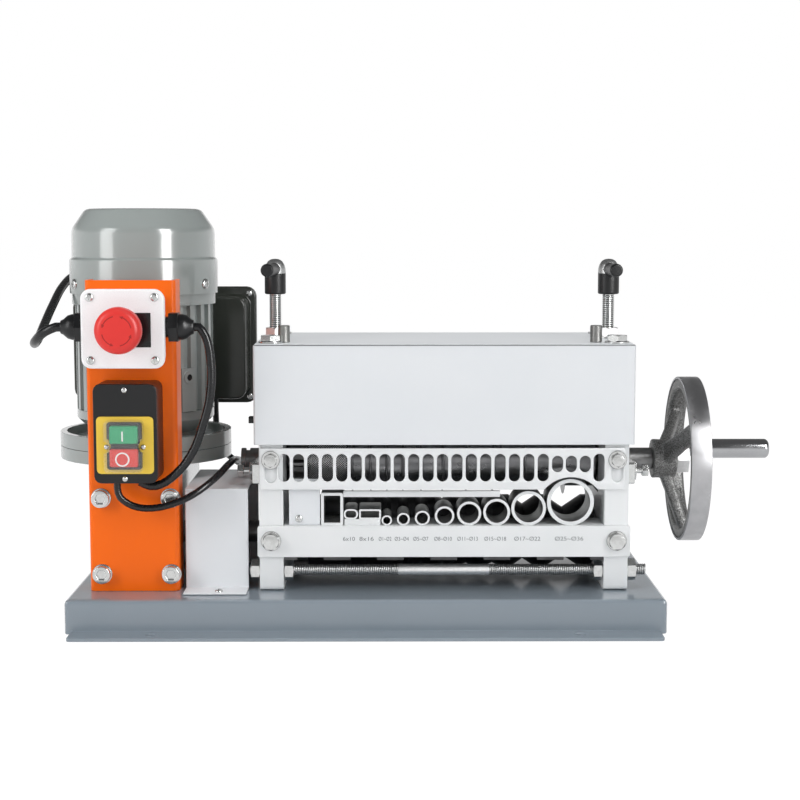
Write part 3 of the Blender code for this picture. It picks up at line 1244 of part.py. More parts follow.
def fan_cover():
    """The sheet cowl over the fan, with a ring of air slots in its top, and the fan inside."""
    sheet = FAN_COVER_SHEET
    low, step, top = MOTOR_BODY_TOP, MOTOR_BODY_TOP + FAN_SKIRT_TALL, FAN_COVER_TOP
    skirt, upper, crown = FAN_SKIRT / 2, FAN_COVER / 2, FAN_COVER_CROWN / 2
    outside = [(skirt, low), (skirt, step), (upper, step + sheet)]
    outside += [(upper, top - FAN_COVER_CHAMFER), (crown, top)]
    profile = [(skirt - sheet, low)] + outside + [(0, top), (0, top - sheet)]
    profile += [(radius - sheet, height - sheet) for radius, height in reversed(outside[1:])]
    start = len(profile) - len(outside) + 1
    profile = profile[start:] + profile[:start]
    cowl = turned(profile, 32, (MOTOR_X, MOTOR_Y, 0))
    slots = []
    length = GRILLE_OUTER - GRILLE_INNER
    for slot in range(GRILLE_SLOTS):
        outline = obround((GRILLE_SLOT, length), (0, (GRILLE_INNER + GRILLE_OUTER) / 2), 2)
        turn = Matrix.Rotation(2 * pi * slot / GRILLE_SLOTS, 4, "Z")
        at = (MOTOR_X, MOTOR_Y, top - DRILL_PAST)
        slots.append(plate(outline, 2 * DRILL_PAST, (), at, turn))
    put("fan_cover", cut(cowl, gathered(slots)), GREY_PAINT)

    axis = (MOTOR_X, MOTOR_Y, 0)
    bottom = MOTOR_BODY_TOP + FAN_LIFT
    disc = rod(FAN_DISC, FAN_SHEET, 16, (MOTOR_X, MOTOR_Y, bottom))
    hub = rod(FAN_HUB, FAN_TALL + FAN_SHEET, 12, (MOTOR_X, MOTOR_Y, bottom))
    vanes = []
    for vane in range(FAN_BLADES):
        half = FAN_BLADE_THICK / 2
        arm = block((FAN_HUB / 4, -half, FAN_SHEET / 2), (FAN / 2, half, FAN_TALL))
        turn = Matrix.Rotation(2 * pi * vane / FAN_BLADES, 4, "Z")
        vanes.append(placed(arm, (MOTOR_X, MOTOR_Y, bottom), turn))
    start = MOTOR_BODY_TOP - ROTOR_SEAT
    shaft_long = bottom + FAN_TALL + ROTOR_PAST - start
    shaft = rod(ROTOR_SHAFT, shaft_long, 10, (MOTOR_X, MOTOR_Y, start))
    put("cooling_fan", united(disc, hub, *vanes, shaft), BLACK_PLASTIC, axis)


def terminal_box():
    """The deep plastic box behind the motor, with a flange and a lid at its back."""
    front = TERMINAL_FRONT
    flange_front = front + TERMINAL_DEEP
    outline = rounded(*TERMINAL_BOX, TERMINAL_CORNER, 4)
    at = (TERMINAL_X, flange_front + SEAT, TERMINAL_Z)
    box = plate(outline, TERMINAL_DEEP + SEAT, (), at, FORWARD)
    outline = rounded(*TERMINAL_FLANGE, TERMINAL_CORNER, 4)
    at = (TERMINAL_X, TERMINAL_BACK, TERMINAL_Z)
    flange = plate(outline, TERMINAL_FLANGE_THICK, (), at, FORWARD)
    put("terminal_box", united(box, flange), GREY_PLASTIC)
    at = (TERMINAL_X, TERMINAL_LID_FRONT + TERMINAL_LID_RIM, TERMINAL_Z)
    rim = plate(outline, TERMINAL_LID_RIM, (), at, FORWARD)
    inner = [size - 2 * TERMINAL_LID_STEP for size in TERMINAL_FLANGE]
    at = (TERMINAL_X, TERMINAL_LID_BACK, TERMINAL_Z)
    deep = TERMINAL_LID_DEEP - TERMINAL_LID_RIM / 2
    crown = plate(rounded(*inner, TERMINAL_CORNER, 4), deep, (), at, FORWARD)
    put("terminal_box_lid", united(rim, crown), GREY_PLASTIC)


def coupling_guard():
    """A folded sheet hood over the coupling, with a foot in front and behind."""
    left, right = SLEEVE_GUARD_LEFT, SLEEVE_GUARD_RIGHT
    front, back, top = SLEEVE_GUARD_FRONT, SLEEVE_GUARD_BACK, SLEEVE_GUARD_TOP
    sheet, foot = SLEEVE_GUARD_SHEET, SLEEVE_GUARD_FOOT
    low, step = DECK, DECK + SLEEVE_GUARD_SHEET
    outline = [(front - foot, low), (front + sheet, low), (front + sheet, top - sheet)]
    outline += [(back - sheet, top - sheet), (back - sheet, low), (back + foot, low)]
    outline += [(back + foot, step)]
    outline += [(back, step), (back, top), (front, top), (front, step), (front - foot, step)]
    hood = plate(outline, right - left, (), (left, 0, 0), RIGHTWARD)
    put("coupling_guard", hood, WHITE_SHEET)


def smooth_route(points, step):
    """Points at even steps on a smooth curve through the route; its end stretches stay straight."""
    route = [Vector(point) for point in points]
    fine = []
    for a, b, c, d in zip(route, route[1:], route[2:], route[3:]):
        for part in range(LEAD_PARTS):
            t = part / LEAD_PARTS
            spot = 2 * b + (c - a) * t + (2 * a - 5 * b + 4 * c - d) * t**2
            fine.append((spot + (3 * b - a - 3 * c + d) * t**3) / 2)
    fine.append(route[-2])
    lengths = [0]
    for first, second in zip(fine, fine[1:]):
        lengths.append(lengths[-1] + (second - first).length)
    count = ceil(lengths[-1] / step)
    even, at = [], 0
    for number in range(count + 1):
        target = lengths[-1] * number / count
        while at < len(fine) - 2 and lengths[at + 1] < target:
            at += 1
        share = (target - lengths[at]) / (lengths[at + 1] - lengths[at])
        even.append(fine[at].lerp(fine[at + 1], min(share, 1)))
    return [route[0], *even, route[-1]]


def lead(name, points, diameter, resolution):
    """A round cable along the points, closed at both ends."""
    curve = bpy.data.curves.new(name, "CURVE")
    curve.dimensions = "3D"
    curve.bevel_depth = diameter / 2
    curve.bevel_resolution = resolution
    curve.use_fill_caps = True
    spline = curve.splines.new("POLY")
    spline.points.add(len(points) - 1)
    for point, place in zip(spline.points, points):
        point.co = (*place, 1)
    curve.materials.append(CABLE)
    piece = bpy.data.objects.new(name, curve)
    piece.parent = machine
    bpy.context.scene.collection.objects.link(piece)


def inner_leads():
    """The leads from the stop box to the switch and from the switch to the terminal box."""
    tip = STOP_X + STOP_BOX[0] / 2 + SEAT + GLAND_LONG + SEAT
    under = SWITCH_Z - SWITCH_BOX[1] / 2 - SEAT
    route = [(tip, GLAND_Y, STOP_Z), (tip + CONTROL / 2, GLAND_Y, STOP_Z)]
    route += [
        (-0.1365, -0.0275, 0.2580),
        (-0.1335, -0.0280, 0.2490),
        (-0.1318, -0.0280, 0.2360),
        (-0.1313, -0.0285, 0.2215),
        (-0.1325, -0.0290, 0.2070),
        (-0.1356, -0.0290, 0.1920),
        (-0.1448, -0.0280, 0.1646),
        (-0.1540, -0.0265, 0.1485),
        (-0.1620, -0.0250, 0.1395),
        (-0.1700, -0.0235, 0.1325),
        (-0.1780, LEAD_ENTRY_Y, 0.1282),
        (-0.1850, LEAD_ENTRY_Y, 0.1272),
        (-0.1910, LEAD_ENTRY_Y, 0.1292),
        (-0.1945, LEAD_ENTRY_Y, 0.1312),
    ]
    lead("control_lead", smooth_route(route, LEAD_STEP * CONTROL), CONTROL, 2)

    ceiling = TERMINAL_Z - TERMINAL_BOX[1] / 2 - SEAT
    route = [(-0.2142, LEAD_ENTRY_Y, under), (-0.2142, LEAD_ENTRY_Y, under - MOTOR_LEAD)]
    route += [
        (-0.2120, -0.0220, 0.1175),
        (-0.2042, -0.0210, 0.1111),
        (-0.1952, -0.0200, 0.1080),
        (-0.1859, -0.0200, 0.1075),
        (-0.1745, -0.0190, 0.1090),
        (-0.1606, -0.0180, 0.1135),
        (-0.1493, -0.0150, 0.1189),
        (-0.1384, -0.0080, 0.1260),
        (-0.1290, 0.0040, 0.1335),
        (-0.1240, 0.0160, 0.1385),
        (-0.1213, 0.0320, 0.1402),
        (-0.1208, 0.0500, 0.1395),
        (-0.1206, 0.0720, 0.1370),
        (-0.1200, 0.0950, 0.1330),
        (-0.1188, 0.1200, 0.1270),
        (-0.1180, 0.1550, 0.1180),
        (-0.1225, 0.1850, 0.1140),
        (-0.1330, 0.2080, 0.1150),
        (-0.1460, 0.2210, 0.1230),
        (-0.1540, 0.2265, 0.1380),
    ]
    route += [(-0.1560, 0.2280, ceiling - 2 * MOTOR_LEAD), (-0.1560, 0.2280, ceiling)]
    lead("motor_lead", smooth_route(route, LEAD_STEP * MOTOR_LEAD), MOTOR_LEAD, 2)


def coil_points():
    """Two layers of turns: in on the ground, up a layer at the inside, and out again on top."""
    spiral = []
    for step in range(round((2 * COIL_TURNS + COIL_CLIMB) * LOOP_POINTS) + 1):
        turns = step / LOOP_POINTS
        radius = COIL_INNER + COIL_PITCH * abs(turns - COIL_MIDDLE)
        share = min(1, max(0, (turns - COIL_TURNS) / COIL_CLIMB))
        angle = 2 * pi * turns
        z = COIL_LOW + COIL_PITCH * share
        spiral.append(Vector((COIL_X + radius * cos(angle), COIL_Y + radius * sin(angle), z)))
    return spiral


def straight_end(points, last, run):
    """Where a coil's end runs on straight, level with the ground, and the way it runs."""
    end, before = points[-1 if last else 0], points[-2 if last else 1]
    way = end - before
    way.z = 0
    return end + way.normalized() * run, way.normalized()


def mains_lead():
    """The mains lead: over the terminal box, down behind the base, a tied coil and a plug."""
    coil = coil_points()
    entry, entry_way = straight_end(coil, False, MAINS)
    leaving, leaving_way = straight_end(coil, True, PLUG_RUN)
    coil = [entry, *coil, leaving]
    lead("mains_coil", coil, MAINS, 1)
    gap = coil_gap(coil)
    print(f"least gap between the coil's turns: {gap * 1000:.2f} mm")

    tip = STOP_X - STOP_BOX[0] / 2 - SEAT - GLAND_LONG - SEAT
    top = TERMINAL_Z + TERMINAL_FLANGE[1] / 2 + MAINS / 2 + SEAT
    end = entry + entry_way * SEAT
    route = [(tip, GLAND_Y, STOP_Z), (tip - MAINS / 2, GLAND_Y, STOP_Z)]
    route += [
        (-0.2740, -0.0240, 0.2600),
        (-0.2835, -0.0120, 0.2525),
        (-0.2895, 0.0100, 0.2480),
        (-0.2930, 0.0400, 0.2495),
        (-0.2945, 0.0750, 0.2610),
        (-0.2940, 0.1100, 0.2760),
        (-0.2925, 0.1500, 0.2920),
        (-0.2880, 0.1900, 0.3015),
        (-0.2790, 0.2270, top + 0.0040),
        (-0.2670, 0.2540, top + 0.0022),
        (-0.2610, 0.2690, top + 0.0016),
        (-0.2570, 0.2800, 0.2860),
        (-0.2550, 0.2860, 0.2680),
        (-0.2545, 0.2895, 0.2400),
        (-0.2545, 0.2910, 0.2100),
        (-0.2560, 0.2930, 0.1700),
        (-0.2520, 0.2960, 0.1250),
        (-0.2400, 0.2990, 0.0820),
        (-0.2250, 0.3030, 0.0450),
        (-0.2100, 0.3110, 0.0180),
    ]
    route += [end + entry_way * 3 * MAINS, end + entry_way * MAINS, end]
    lead("mains_lead", smooth_route(route, LEAD_STEP * MAINS), MAINS, 2)

    wide = COIL_OUTER - COIL_INNER + MAINS + 2 * TIE_SPARE
    low, high = SEAT + TIE_THICK, COIL_LOW + COIL_PITCH + MAINS / 2 + SEAT
    centre = (0, (low + high) / 2)
    hole = rounded(wide, high - low, TIE_THICK, 1, centre)
    band = rounded(wide + 2 * TIE_THICK, high - low + 2 * TIE_THICK, 2 * TIE_THICK, 2, centre)
    at = (COIL_X - TIE_WIDE / 2, COIL_Y - COIL_RADIUS, 0)
    put("coil_tie", plate(band, TIE_WIDE, [hole], at, RIGHTWARD), BLACK_PLASTIC)

    start = leaving + leaving_way * SEAT
    heading = Matrix.Rotation(atan2(leaving_way.y, leaving_way.x), 4, "Z")
    long, wide, tall = PLUG
    z = start.z
    edge, tail_end = PLUG_EDGE, PLUG_TAIL + PLUG_EDGE
    body = block((PLUG_TAIL, -wide / 2, SEAT - z), (PLUG_TAIL + long, wide / 2, tall - z), edge, 1)
    tail = [(0, 0), (MAINS * 0.62, 0), (MAINS * 0.8, tail_end), (0, tail_end)]
    relief = turned(tail, 16, (0, 0, 0), RIGHTWARD)
    pins = []
    for side in (-1, 1):
        at = (PLUG_TAIL + long - edge, side * PLUG_PIN_SPREAD / 2, tall / 2 - z)
        pins.append(rod(PLUG_PIN, PLUG_PIN_LONG + edge, 14, at, RIGHTWARD, PLUG_PIN / 5))
    plug = united(body, relief, *pins)
    put("mains_plug", placed(plug, start, heading), BLACK_PLASTIC)


def coil_gap(points):
    """The least distance between stretches of the coil that lie more than a quarter turn apart."""
    least = 1.0
    skip = LOOP_POINTS // 4
    for number, first in enumerate(points):
        for a, b in zip(points[number + skip :], points[number + skip + 1 :]):
            way = b - a
            share = min(1, max(0, (first - a).dot(way) / way.length_squared))
            least = min(least, (first - a - way * share).length)
    return least - MAINS


base_pan()
end_frames()
tie_rods()
feed_bar()
tube_rack()
gear_guard()
slotted_guard()
top_cover()
adjusting_screws()
bearing_blocks()
bearings()
side_clamps()
gears()
upper_shaft()
blade_stack()
lower_shaft()
feed_rollers()
handwheel()
control_column()
emergency_stop()
switch()
gearbox()
motor()
fan_cover()
terminal_box()
coupling_guard()
inner_leads()
mains_lead()
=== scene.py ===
"""Looks of a bench machine that strips the sheath off scrap cable.

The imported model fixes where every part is. This script gives each part the finish of the real one,
rounds the edges that the eye catches, and adds what is bought in or fine: screws, washers, threads,
knurling, size figures, leads. Lengths are in metres. Places are written as on the shop drawing, X from
the middle of the base, Y from the front of the end frames and Z from the floor, and `at` turns them into
the model's own.
"""

import json
from math import atan2, ceil, cos, degrees, pi, radians, sin

import bmesh
import bpy
from mathutils import Matrix, Vector

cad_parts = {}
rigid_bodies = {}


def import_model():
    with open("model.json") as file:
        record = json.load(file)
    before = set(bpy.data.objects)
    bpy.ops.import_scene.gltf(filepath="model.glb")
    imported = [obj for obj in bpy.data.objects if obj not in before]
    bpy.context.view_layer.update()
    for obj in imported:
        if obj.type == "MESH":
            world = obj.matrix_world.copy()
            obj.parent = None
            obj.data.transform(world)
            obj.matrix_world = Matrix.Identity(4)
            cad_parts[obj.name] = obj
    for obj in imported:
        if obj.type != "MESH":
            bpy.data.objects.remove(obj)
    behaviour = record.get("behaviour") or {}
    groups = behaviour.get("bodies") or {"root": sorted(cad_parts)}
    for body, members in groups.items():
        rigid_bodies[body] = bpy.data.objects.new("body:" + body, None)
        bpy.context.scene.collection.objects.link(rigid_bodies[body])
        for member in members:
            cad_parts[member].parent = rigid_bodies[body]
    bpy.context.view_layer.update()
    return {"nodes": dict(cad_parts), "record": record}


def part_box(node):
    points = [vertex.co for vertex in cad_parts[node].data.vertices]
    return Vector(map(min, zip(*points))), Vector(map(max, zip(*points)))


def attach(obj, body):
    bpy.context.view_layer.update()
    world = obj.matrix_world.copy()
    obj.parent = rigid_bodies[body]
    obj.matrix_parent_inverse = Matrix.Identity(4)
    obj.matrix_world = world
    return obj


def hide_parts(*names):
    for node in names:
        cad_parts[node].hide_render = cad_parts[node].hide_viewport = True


for old in list(bpy.data.objects):
    bpy.data.objects.remove(old, do_unlink=True)

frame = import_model()
NODES = frame["nodes"]
STAGE = bpy.context.scene
BASE_LOW, BASE_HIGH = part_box("base_pan")
ORIGIN = Vector(((BASE_LOW.x + BASE_HIGH.x) / 2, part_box("left_end_frame")[0].y, 0))


def at(x, y, z):
    """A place on the shop drawing, as a point of the model."""
    return ORIGIN + Vector((x, y, z))


# Turns that lay a shape made along Z into the machine
UP = Matrix.Identity(4)
FORWARD = Matrix.Rotation(pi / 2, 4, "X")
RIGHTWARD = Matrix(((0, 0, 1, 0), (1, 0, 0, 0), (0, 1, 0, 0), (0, 0, 0, 1)))

# Places and sizes that several pieces share; SEAT is the gap left where two faces would touch
SEAT = 0.0003
INNER_LEFT, INNER_RIGHT = -0.0730, 0.2090
OUTER_LEFT, OUTER_RIGHT = -0.0940, 0.2300
BOLT_LEFT, BOLT_RIGHT = BOLTS = (-0.0835, 0.2195)
FRONT_ROW, REAR_ROW = 0.012, 0.133
SHAFT_Y, UPPER_Z, LOWER_Z = 0.0725, 0.1374, 0.0700
COVER_TOP = 0.2484
GUARD_FACE = -0.0033
BAR_FACE = -0.0038
STOP_X, STOP_Z = -0.2022, 0.2647
LID_WIDE, LID_TALL = 0.0705, 0.0670
LID_FACE = -0.0536
GLAND_LONG, GLAND_Y = 0.0210, -0.0268
MOTOR_X, MOTOR_Y = -0.2100, 0.1225


def camera():
    """A long lens a little above the machine, square to its front."""
    data = bpy.data.cameras.new("camera")
    data.lens = 72.9
    data.sensor_width = 36
    seen = bpy.data.objects.new("camera", data)
    seen.location = at(0.0216, -1.403, 0.351)
    down, aside = 6.17, -0.32
    seen.rotation_euler = (radians(90 - down), 0, radians(aside))
    STAGE.collection.objects.link(seen)
    STAGE.camera = seen


camera()

# Materials


def linear(code):
    """An sRGB hex colour as linear red, green, blue and alpha."""
    values = [int(code[place : place + 2], 16) / 255 for place in (1, 3, 5)]
    return [v / 12.92 if v <= 0.04045 else ((v + 0.055) / 1.055) ** 2.4 for v in values] + [1]


def add(tree, kind, inputs=(), **settings):
    """Adds a node with its settings; an input takes a value, a socket, or a node's first output."""
    made = tree.nodes.new(kind)
    for name, value in settings.items():
        setattr(made, name, value)
    for name, value in dict(inputs).items():
        if isinstance(value, bpy.types.Node):
            value = value.outputs[0]
        if isinstance(value, bpy.types.NodeSocket):
            tree.links.new(value, made.inputs[name])
        else:
            made.inputs[name].default_value = value
    return made


def started(name, colour, roughness, metallic=0.0, **more):
    """A new material with its shader, and the Object coordinates that its patterns use."""
    made = bpy.data.materials.new(name)
    made.use_nodes = True
    tree = made.node_tree
    shader = tree.nodes["Principled BSDF"]
    shader.inputs["Base Color"].default_value = linear(colour)
    shader.inputs["Roughness"].default_value = roughness
    shader.inputs["Metallic"].default_value = metallic
    for socket, value in more.items():
        shader.inputs[socket.replace("_", " ")].default_value = value
    made.diffuse_color = linear(colour)
    place = add(tree, "ShaderNodeTexCoord").outputs["Object"]
    return made, tree, shader, place


def mottled(tree, shader, place, colour, other, grain, share=0.5):
    """The base colour wanders between two close tones over patches of a real size."""
    noise = add(tree, "ShaderNodeTexNoise", {"Vector": place, "Scale": 1 / grain, "Detail": 4})
    spread = add(tree, "ShaderNodeMapRange", {0: noise, 1: 0.35, 2: 0.65, 4: share})
    tones = {0: spread, 6: linear(colour), 7: linear(other)}
    mixed = add(tree, "ShaderNodeMix", tones, data_type="RGBA")
    tree.links.new(mixed.outputs[2], shader.inputs["Base Color"])
    return noise


def roughened(tree, shader, source, low, high):
    """Roughness that follows a pattern, so that a highlight breaks up a little."""
    level = add(tree, "ShaderNodeMapRange", {0: source, 1: 0.3, 2: 0.7, 3: low, 4: high})
    tree.links.new(level.outputs[0], shader.inputs["Roughness"])


def raised(tree, shader, height, depth):
    """Relief from a pattern, as deep as the real one in metres."""
    relief = add(tree, "ShaderNodeBump", {"Height": height, "Distance": depth, "Strength": 1.0})
    tree.links.new(relief.outputs[0], shader.inputs["Normal"])


def sprayed_enamel(name, colour, shade, roughness, coat=0.4):
    """Air-dried enamel over steel: glossy, with faint orange peel and a slightly uneven film."""
    made, tree, shader, place = started(name, colour, roughness, IOR=1.5)
    shader.inputs["Coat Weight"].default_value = coat
    shader.inputs["Coat Roughness"].default_value = 0.12
    mottled(tree, shader, place, colour, shade, 0.06)
    peel = 0.004
    skin = add(tree, "ShaderNodeTexNoise", {"Vector": place, "Scale": 1 / peel, "Detail": 2})
    roughened(tree, shader, skin, roughness - 0.04, roughness + 0.05)
    raised(tree, shader, skin, 0.000003)
    return made


def powder_coat(name, colour, shade, roughness, pebble=0.0022, depth=0.000004, **more):
    """Baked powder coat on sheet: satin, with a fine pebbled skin."""
    made, tree, shader, place = started(name, colour, roughness, IOR=1.4, **more)
    mottled(tree, shader, place, colour, shade, 0.09)
    skin = add(tree, "ShaderNodeTexNoise", {"Vector": place, "Scale": 1 / pebble, "Detail": 1})
    roughened(tree, shader, skin, roughness - 0.02, roughness + 0.03)
    raised(tree, shader, skin, depth)
    return made


def flake_enamel(name, colour, shade, roughness):
    """Aluminium-flake enamel: pale silver that glitters in grains, drawn coarser than real to show."""
    made, tree, shader, place = started(name, colour, roughness, 0.10)
    mottled(tree, shader, place, colour, shade, 0.04)
    flake = 0.0009
    grains = add(tree, "ShaderNodeTexVoronoi", {"Vector": place, "Scale": 1 / flake})
    roughened(tree, shader, grains.outputs["Color"], roughness - 0.08, roughness + 0.1)
    raised(tree, shader, grains.outputs["Distance"], 0.000006)
    return made


def plated(name, colour, shade, roughness, grain=0.004):
    """Zinc plate on small steel parts: bright, with cloudy handling marks and tiny pits."""
    made, tree, shader, place = started(name, colour, roughness, 1.0)
    clouds = mottled(tree, shader, place, colour, shade, grain)
    roughened(tree, shader, clouds, roughness - 0.03, roughness + 0.06)
    pits = add(tree, "ShaderNodeTexNoise", {"Vector": place, "Scale": 1 / 0.0010, "Detail": 2})
    raised(tree, shader, pits, 0.0000012)
    return made


def turned_metal(name, colour, shade, roughness, pitch=0.0006, depth=0.000015):
    """Lathe-turned steel whose tool marks ring the X axis, drawn coarser than real to show."""
    made, tree, shader, place = started(name, colour, roughness, 1.0)
    shader.inputs["Anisotropic"].default_value = 0.5
    clouds = mottled(tree, shader, place, colour, shade, 0.012)
    roughened(tree, shader, clouds, roughness - 0.06, roughness + 0.14)
    marks = {"Vector": place, "Scale": 1 / (20 * pitch), "Distortion": 0.4, "Detail": 1}
    rings = add(tree, "ShaderNodeTexWave", marks, bands_direction="X")
    raised(tree, shader, rings, depth)
    return made


def sand_cast(name, colour, shade, roughness, grain=0.0016, depth=0.00025):
    """Grey cast iron as it left the sand: dark, dull and grainy, with a faint sparkle."""
    made, tree, shader, place = started(name, colour, roughness, 0.75)
    mottled(tree, shader, place, colour, shade, grain * 0.8, 1.0)
    fine = add(tree, "ShaderNodeTexNoise", {"Vector": place, "Scale": 1 / grain, "Detail": 6})
    roughened(tree, shader, fine, roughness - 0.12, roughness + 0.12)
    raised(tree, shader, fine, depth)
    return made


def moulded(name, colour, shade, roughness, spark=0.0009, **more):
    """Injection-moulded plastic: an even colour with a fine spark-eroded texture."""
    made, tree, shader, place = started(name, colour, roughness, IOR=1.46, **more)
    mottled(tree, shader, place, colour, shade, 0.03)
    skin = add(tree, "ShaderNodeTexNoise", {"Vector": place, "Scale": 1 / spark, "Detail": 2})
    roughened(tree, shader, skin, roughness - 0.04, roughness + 0.06)
    raised(tree, shader, skin, 0.000002)
    return made


# Blue-grey enamel of the base: mid tone, glossy, softly mirrors what stands on it.
BASE_ENAMEL = sprayed_enamel("blue_grey_enamel", "#87929B", "#8B959E", 0.18)
# Silver enamel of the plates: pale, faintly metallic.
SILVER_ENAMEL = flake_enamel("silver_flake_enamel", "#E9EBEC", "#E1E4E5", 0.40)
# White powder coat of the folded sheets: cool white, satin.
WHITE_COAT = powder_coat("white_powder_coat", "#E4E7EA", "#DEE2E6", 0.38)
# Orange powder coat of the control column: saturated, half gloss.
ORANGE_COAT = powder_coat(
    "orange_powder_coat", "#FF6E0A", "#FB6A08", 0.30, 0.0016, 0.0000006, Specular_IOR_Level=0.35
)
# Grey machine enamel of the motor: warm grey, glossy enough for sharp window highlights.
MOTOR_ENAMEL = sprayed_enamel("grey_motor_enamel", "#989F9D", "#929997", 0.20, coat=1.0)
# Zinc plate of bolts, nuts and rods: bright white metal.
ZINC = plated("zinc_plated_steel", "#D6D7D6", "#C6C7C6", 0.20)
# Turned steel of shafts and gears: mid grey metal with ring marks.
STEEL = turned_metal("turned_steel", "#8C8C8C", "#6F6F6E", 0.34)
# Machined rim of the handwheel: bright turned iron.
RIM_STEEL = turned_metal("machined_iron", "#B6B6B8", "#A6A6A8", 0.32, 0.0005, 0.0000006)
# Cast iron of the handwheel's spokes and hub.
CAST_IRON = sand_cast("sand_cast_iron", "#9A9A99", "#4A4A49", 0.46, 0.0013, 0.0004)
# Hard chrome on the crank grip: smooth, dark reflections.
CHROME = plated("chrome_plate", "#B2B3B5", "#A8A9AB", 0.14, 0.02)
# Dull zinc of the welded guide tubes: mid grey, cloudy.
TUBE_STEEL = plated("dull_zinc_tube", "#8F9190", "#7E807F", 0.40, 0.006)
# Bare dome of the screw handles and thread of the tie rods: light grey, brushed; on the tie rods' nuts it is
# the painted shade of the chamfers.
DOME_STEEL = plated("brushed_dome_steel", "#B9BABA", "#A9AAAA", 0.38, 0.003)
# Near-white steel of shanks and loose nuts; on the drum's knurl it is the painted highlight on the points.
KNURL_STEEL = plated("knurled_steel", "#F2F2F2", "#DCDCDC", 0.42, 0.003)
# Knurled thumb nuts: zinc dulled by the die.
THREAD_STEEL = plated("rolled_thread_zinc", "#A8A8A6", "#969694", 0.30, 0.003)
# Grey zinc that paints the shade on the chamfers of bolt heads and nuts and along the top front edge of the
# cover.
CHAMFER_SHADE_ZINC = plated("painted_shade_zinc", "#7C7E7E", "#6E7070", 0.36, 0.003)
# Steel of the feed roller, the coupling, the valleys of the knurl and the shelf's lower band, painted dark as
# the shade inside the machine, with fine ring marks.
PAINTED_SHADE_STEEL = turned_metal("painted_shade_steel", "#5B5B5C", "#3E3E3F", 0.34, 0.0005, 0.000006)
# Ground blades and spacers behind the slots: greyer, catching what light comes through.
BLADE_STEEL = turned_metal("ground_blade_steel_fine", "#A0A0A2", "#858587", 0.30, 0.0005, 0.000003)
# White ABS of the stop box: clean, glossy.
WHITE_ABS = moulded("white_abs", "#F7F7F8", "#F3F3F4", 0.28)
# Black ABS of switch box, stem and screw handles.
BLACK_ABS = moulded("black_abs", "#101113", "#151618", 0.34)
# Black nylon of the cable glands: a touch glossier.
BLACK_NYLON = moulded("black_nylon", "#111214", "#17181A", 0.20)
# Dark grey moulding of the terminal box: near black, glossy.
DARK_MOULDING = moulded("dark_grey_moulding", "#2F322D", "#353833", 0.14)
# Yellow polycarbonate face of the switch.
YELLOW_FACE = moulded("yellow_polycarbonate", "#F0CC48", "#ECC744", 0.32)
# Red button and mushroom head.
RED_CAP = moulded("red_abs", "#E2342E", "#DB2C28", 0.34)
# The arrows on the face of the head: the same red in shade.
DEEP_RED = moulded("shaded_red_abs", "#A81F1C", "#9C1B19", 0.4)
# Green start button.
GREEN_CAP = moulded("green_abs", "#12A870", "#10A06A", 0.30)
# Black PVC sheath of the leads: smooth, half gloss.
PVC = moulded("black_pvc", "#141517", "#1A1B1D", 0.24, 0.0020)
# Clear silicone of the switch's splash boot: see-through with a soft shine.
CLEAR_SILICONE = moulded("clear_silicone", "#E9EAE8", "#E2E3E1", 0.06, Alpha=0.07)
# White print of the marks on the buttons.
WHITE_PRINT = moulded("white_ink", "#F2F2F0", "#ECECEA", 0.5)
# Grey print of the size figures on the bar.
GREY_PRINT = moulded("grey_ink", "#6E7175", "#7B7E82", 0.6)
# Nickel-plated brass of the plug's pins.
NICKEL = plated("nickel_plate", "#CFC9BE", "#BDB7AB", 0.2)

FINISHES = {
    "blue_grey_enamel": BASE_ENAMEL,
    "silver_enamel": SILVER_ENAMEL,
    "white_powder_coat": WHITE_COAT,
    "orange_powder_coat": ORANGE_COAT,
    "grey_motor_paint": MOTOR_ENAMEL,
    "zinc_plate": ZINC,
    "turned_steel": STEEL,
    "ground_blade_steel": BLADE_STEEL,
    "cast_iron": CAST_IRON,
    "chrome_grip": CHROME,
    "white_abs": WHITE_ABS,
    "black_plastic": BLACK_ABS,
    "dark_grey_plastic": DARK_MOULDING,
    "yellow_plastic": YELLOW_FACE,
    "clear_silicone": CLEAR_SILICONE,
    "red_plastic": RED_CAP,
    "green_plastic": GREEN_CAP,
    "black_pvc": PVC,
}


def dress_nodes():
    """Each part's material by the slot that the record gives it."""
    for part in frame["record"]["subparts"]:
        for slot in NODES[part["node"]].material_slots:
            slot.material = FINISHES[part["material_slot"]]


dress_nodes()


def piece(name, mesh, material, body="root", stands_for=()):
    """A finished piece: its place is in its mesh, and it moves with a body."""
    if material is not None:
        mesh.materials.clear()
        mesh.materials.append(material)
    mesh.name = name
    made = bpy.data.objects.new(name, mesh)
    STAGE.collection.objects.link(made)
    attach(made, body)
    if stands_for:
        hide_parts(*stands_for)
    return made


# Shapes


def as_mesh(bm, smooth=35):
    """A closed mesh with its faces pointing out, smooth but for its sharp edges."""
    bmesh.ops.remove_doubles(bm, verts=bm.verts, dist=0.000002)
    bmesh.ops.recalc_face_normals(bm, faces=bm.faces)
    mesh = bpy.data.meshes.new("shape")
    bm.to_mesh(mesh)
    bm.free()
    mesh.shade_smooth()
    mesh.set_sharp_from_angle(angle=radians(smooth))
    return mesh


def placed(mesh, where=(0, 0, 0), turn=UP):
    """The mesh turned, then moved."""
    mesh.transform(Matrix.Translation(where) @ turn)
    return mesh


def joined(meshes):
    """Several solids in one mesh, which keep their sharp edges and materials."""
    bm = bmesh.new()
    for mesh in meshes:
        bm.from_mesh(mesh)
    made = bpy.data.meshes.new("joined")
    bm.to_mesh(made)
    bm.free()
    return made


def circle(diameter, steps=48):
    turns = [2 * pi * step / steps for step in range(steps)]
    return [(diameter / 2 * cos(turn), diameter / 2 * sin(turn)) for turn in turns]


def arc(centre, radius, start, end, steps):
    """Points round a centre, between two angles in degrees."""
    turns = [radians(start + (end - start) * step / steps) for step in range(steps + 1)]
    return [(centre[0] + radius * cos(turn), centre[1] + radius * sin(turn)) for turn in turns]


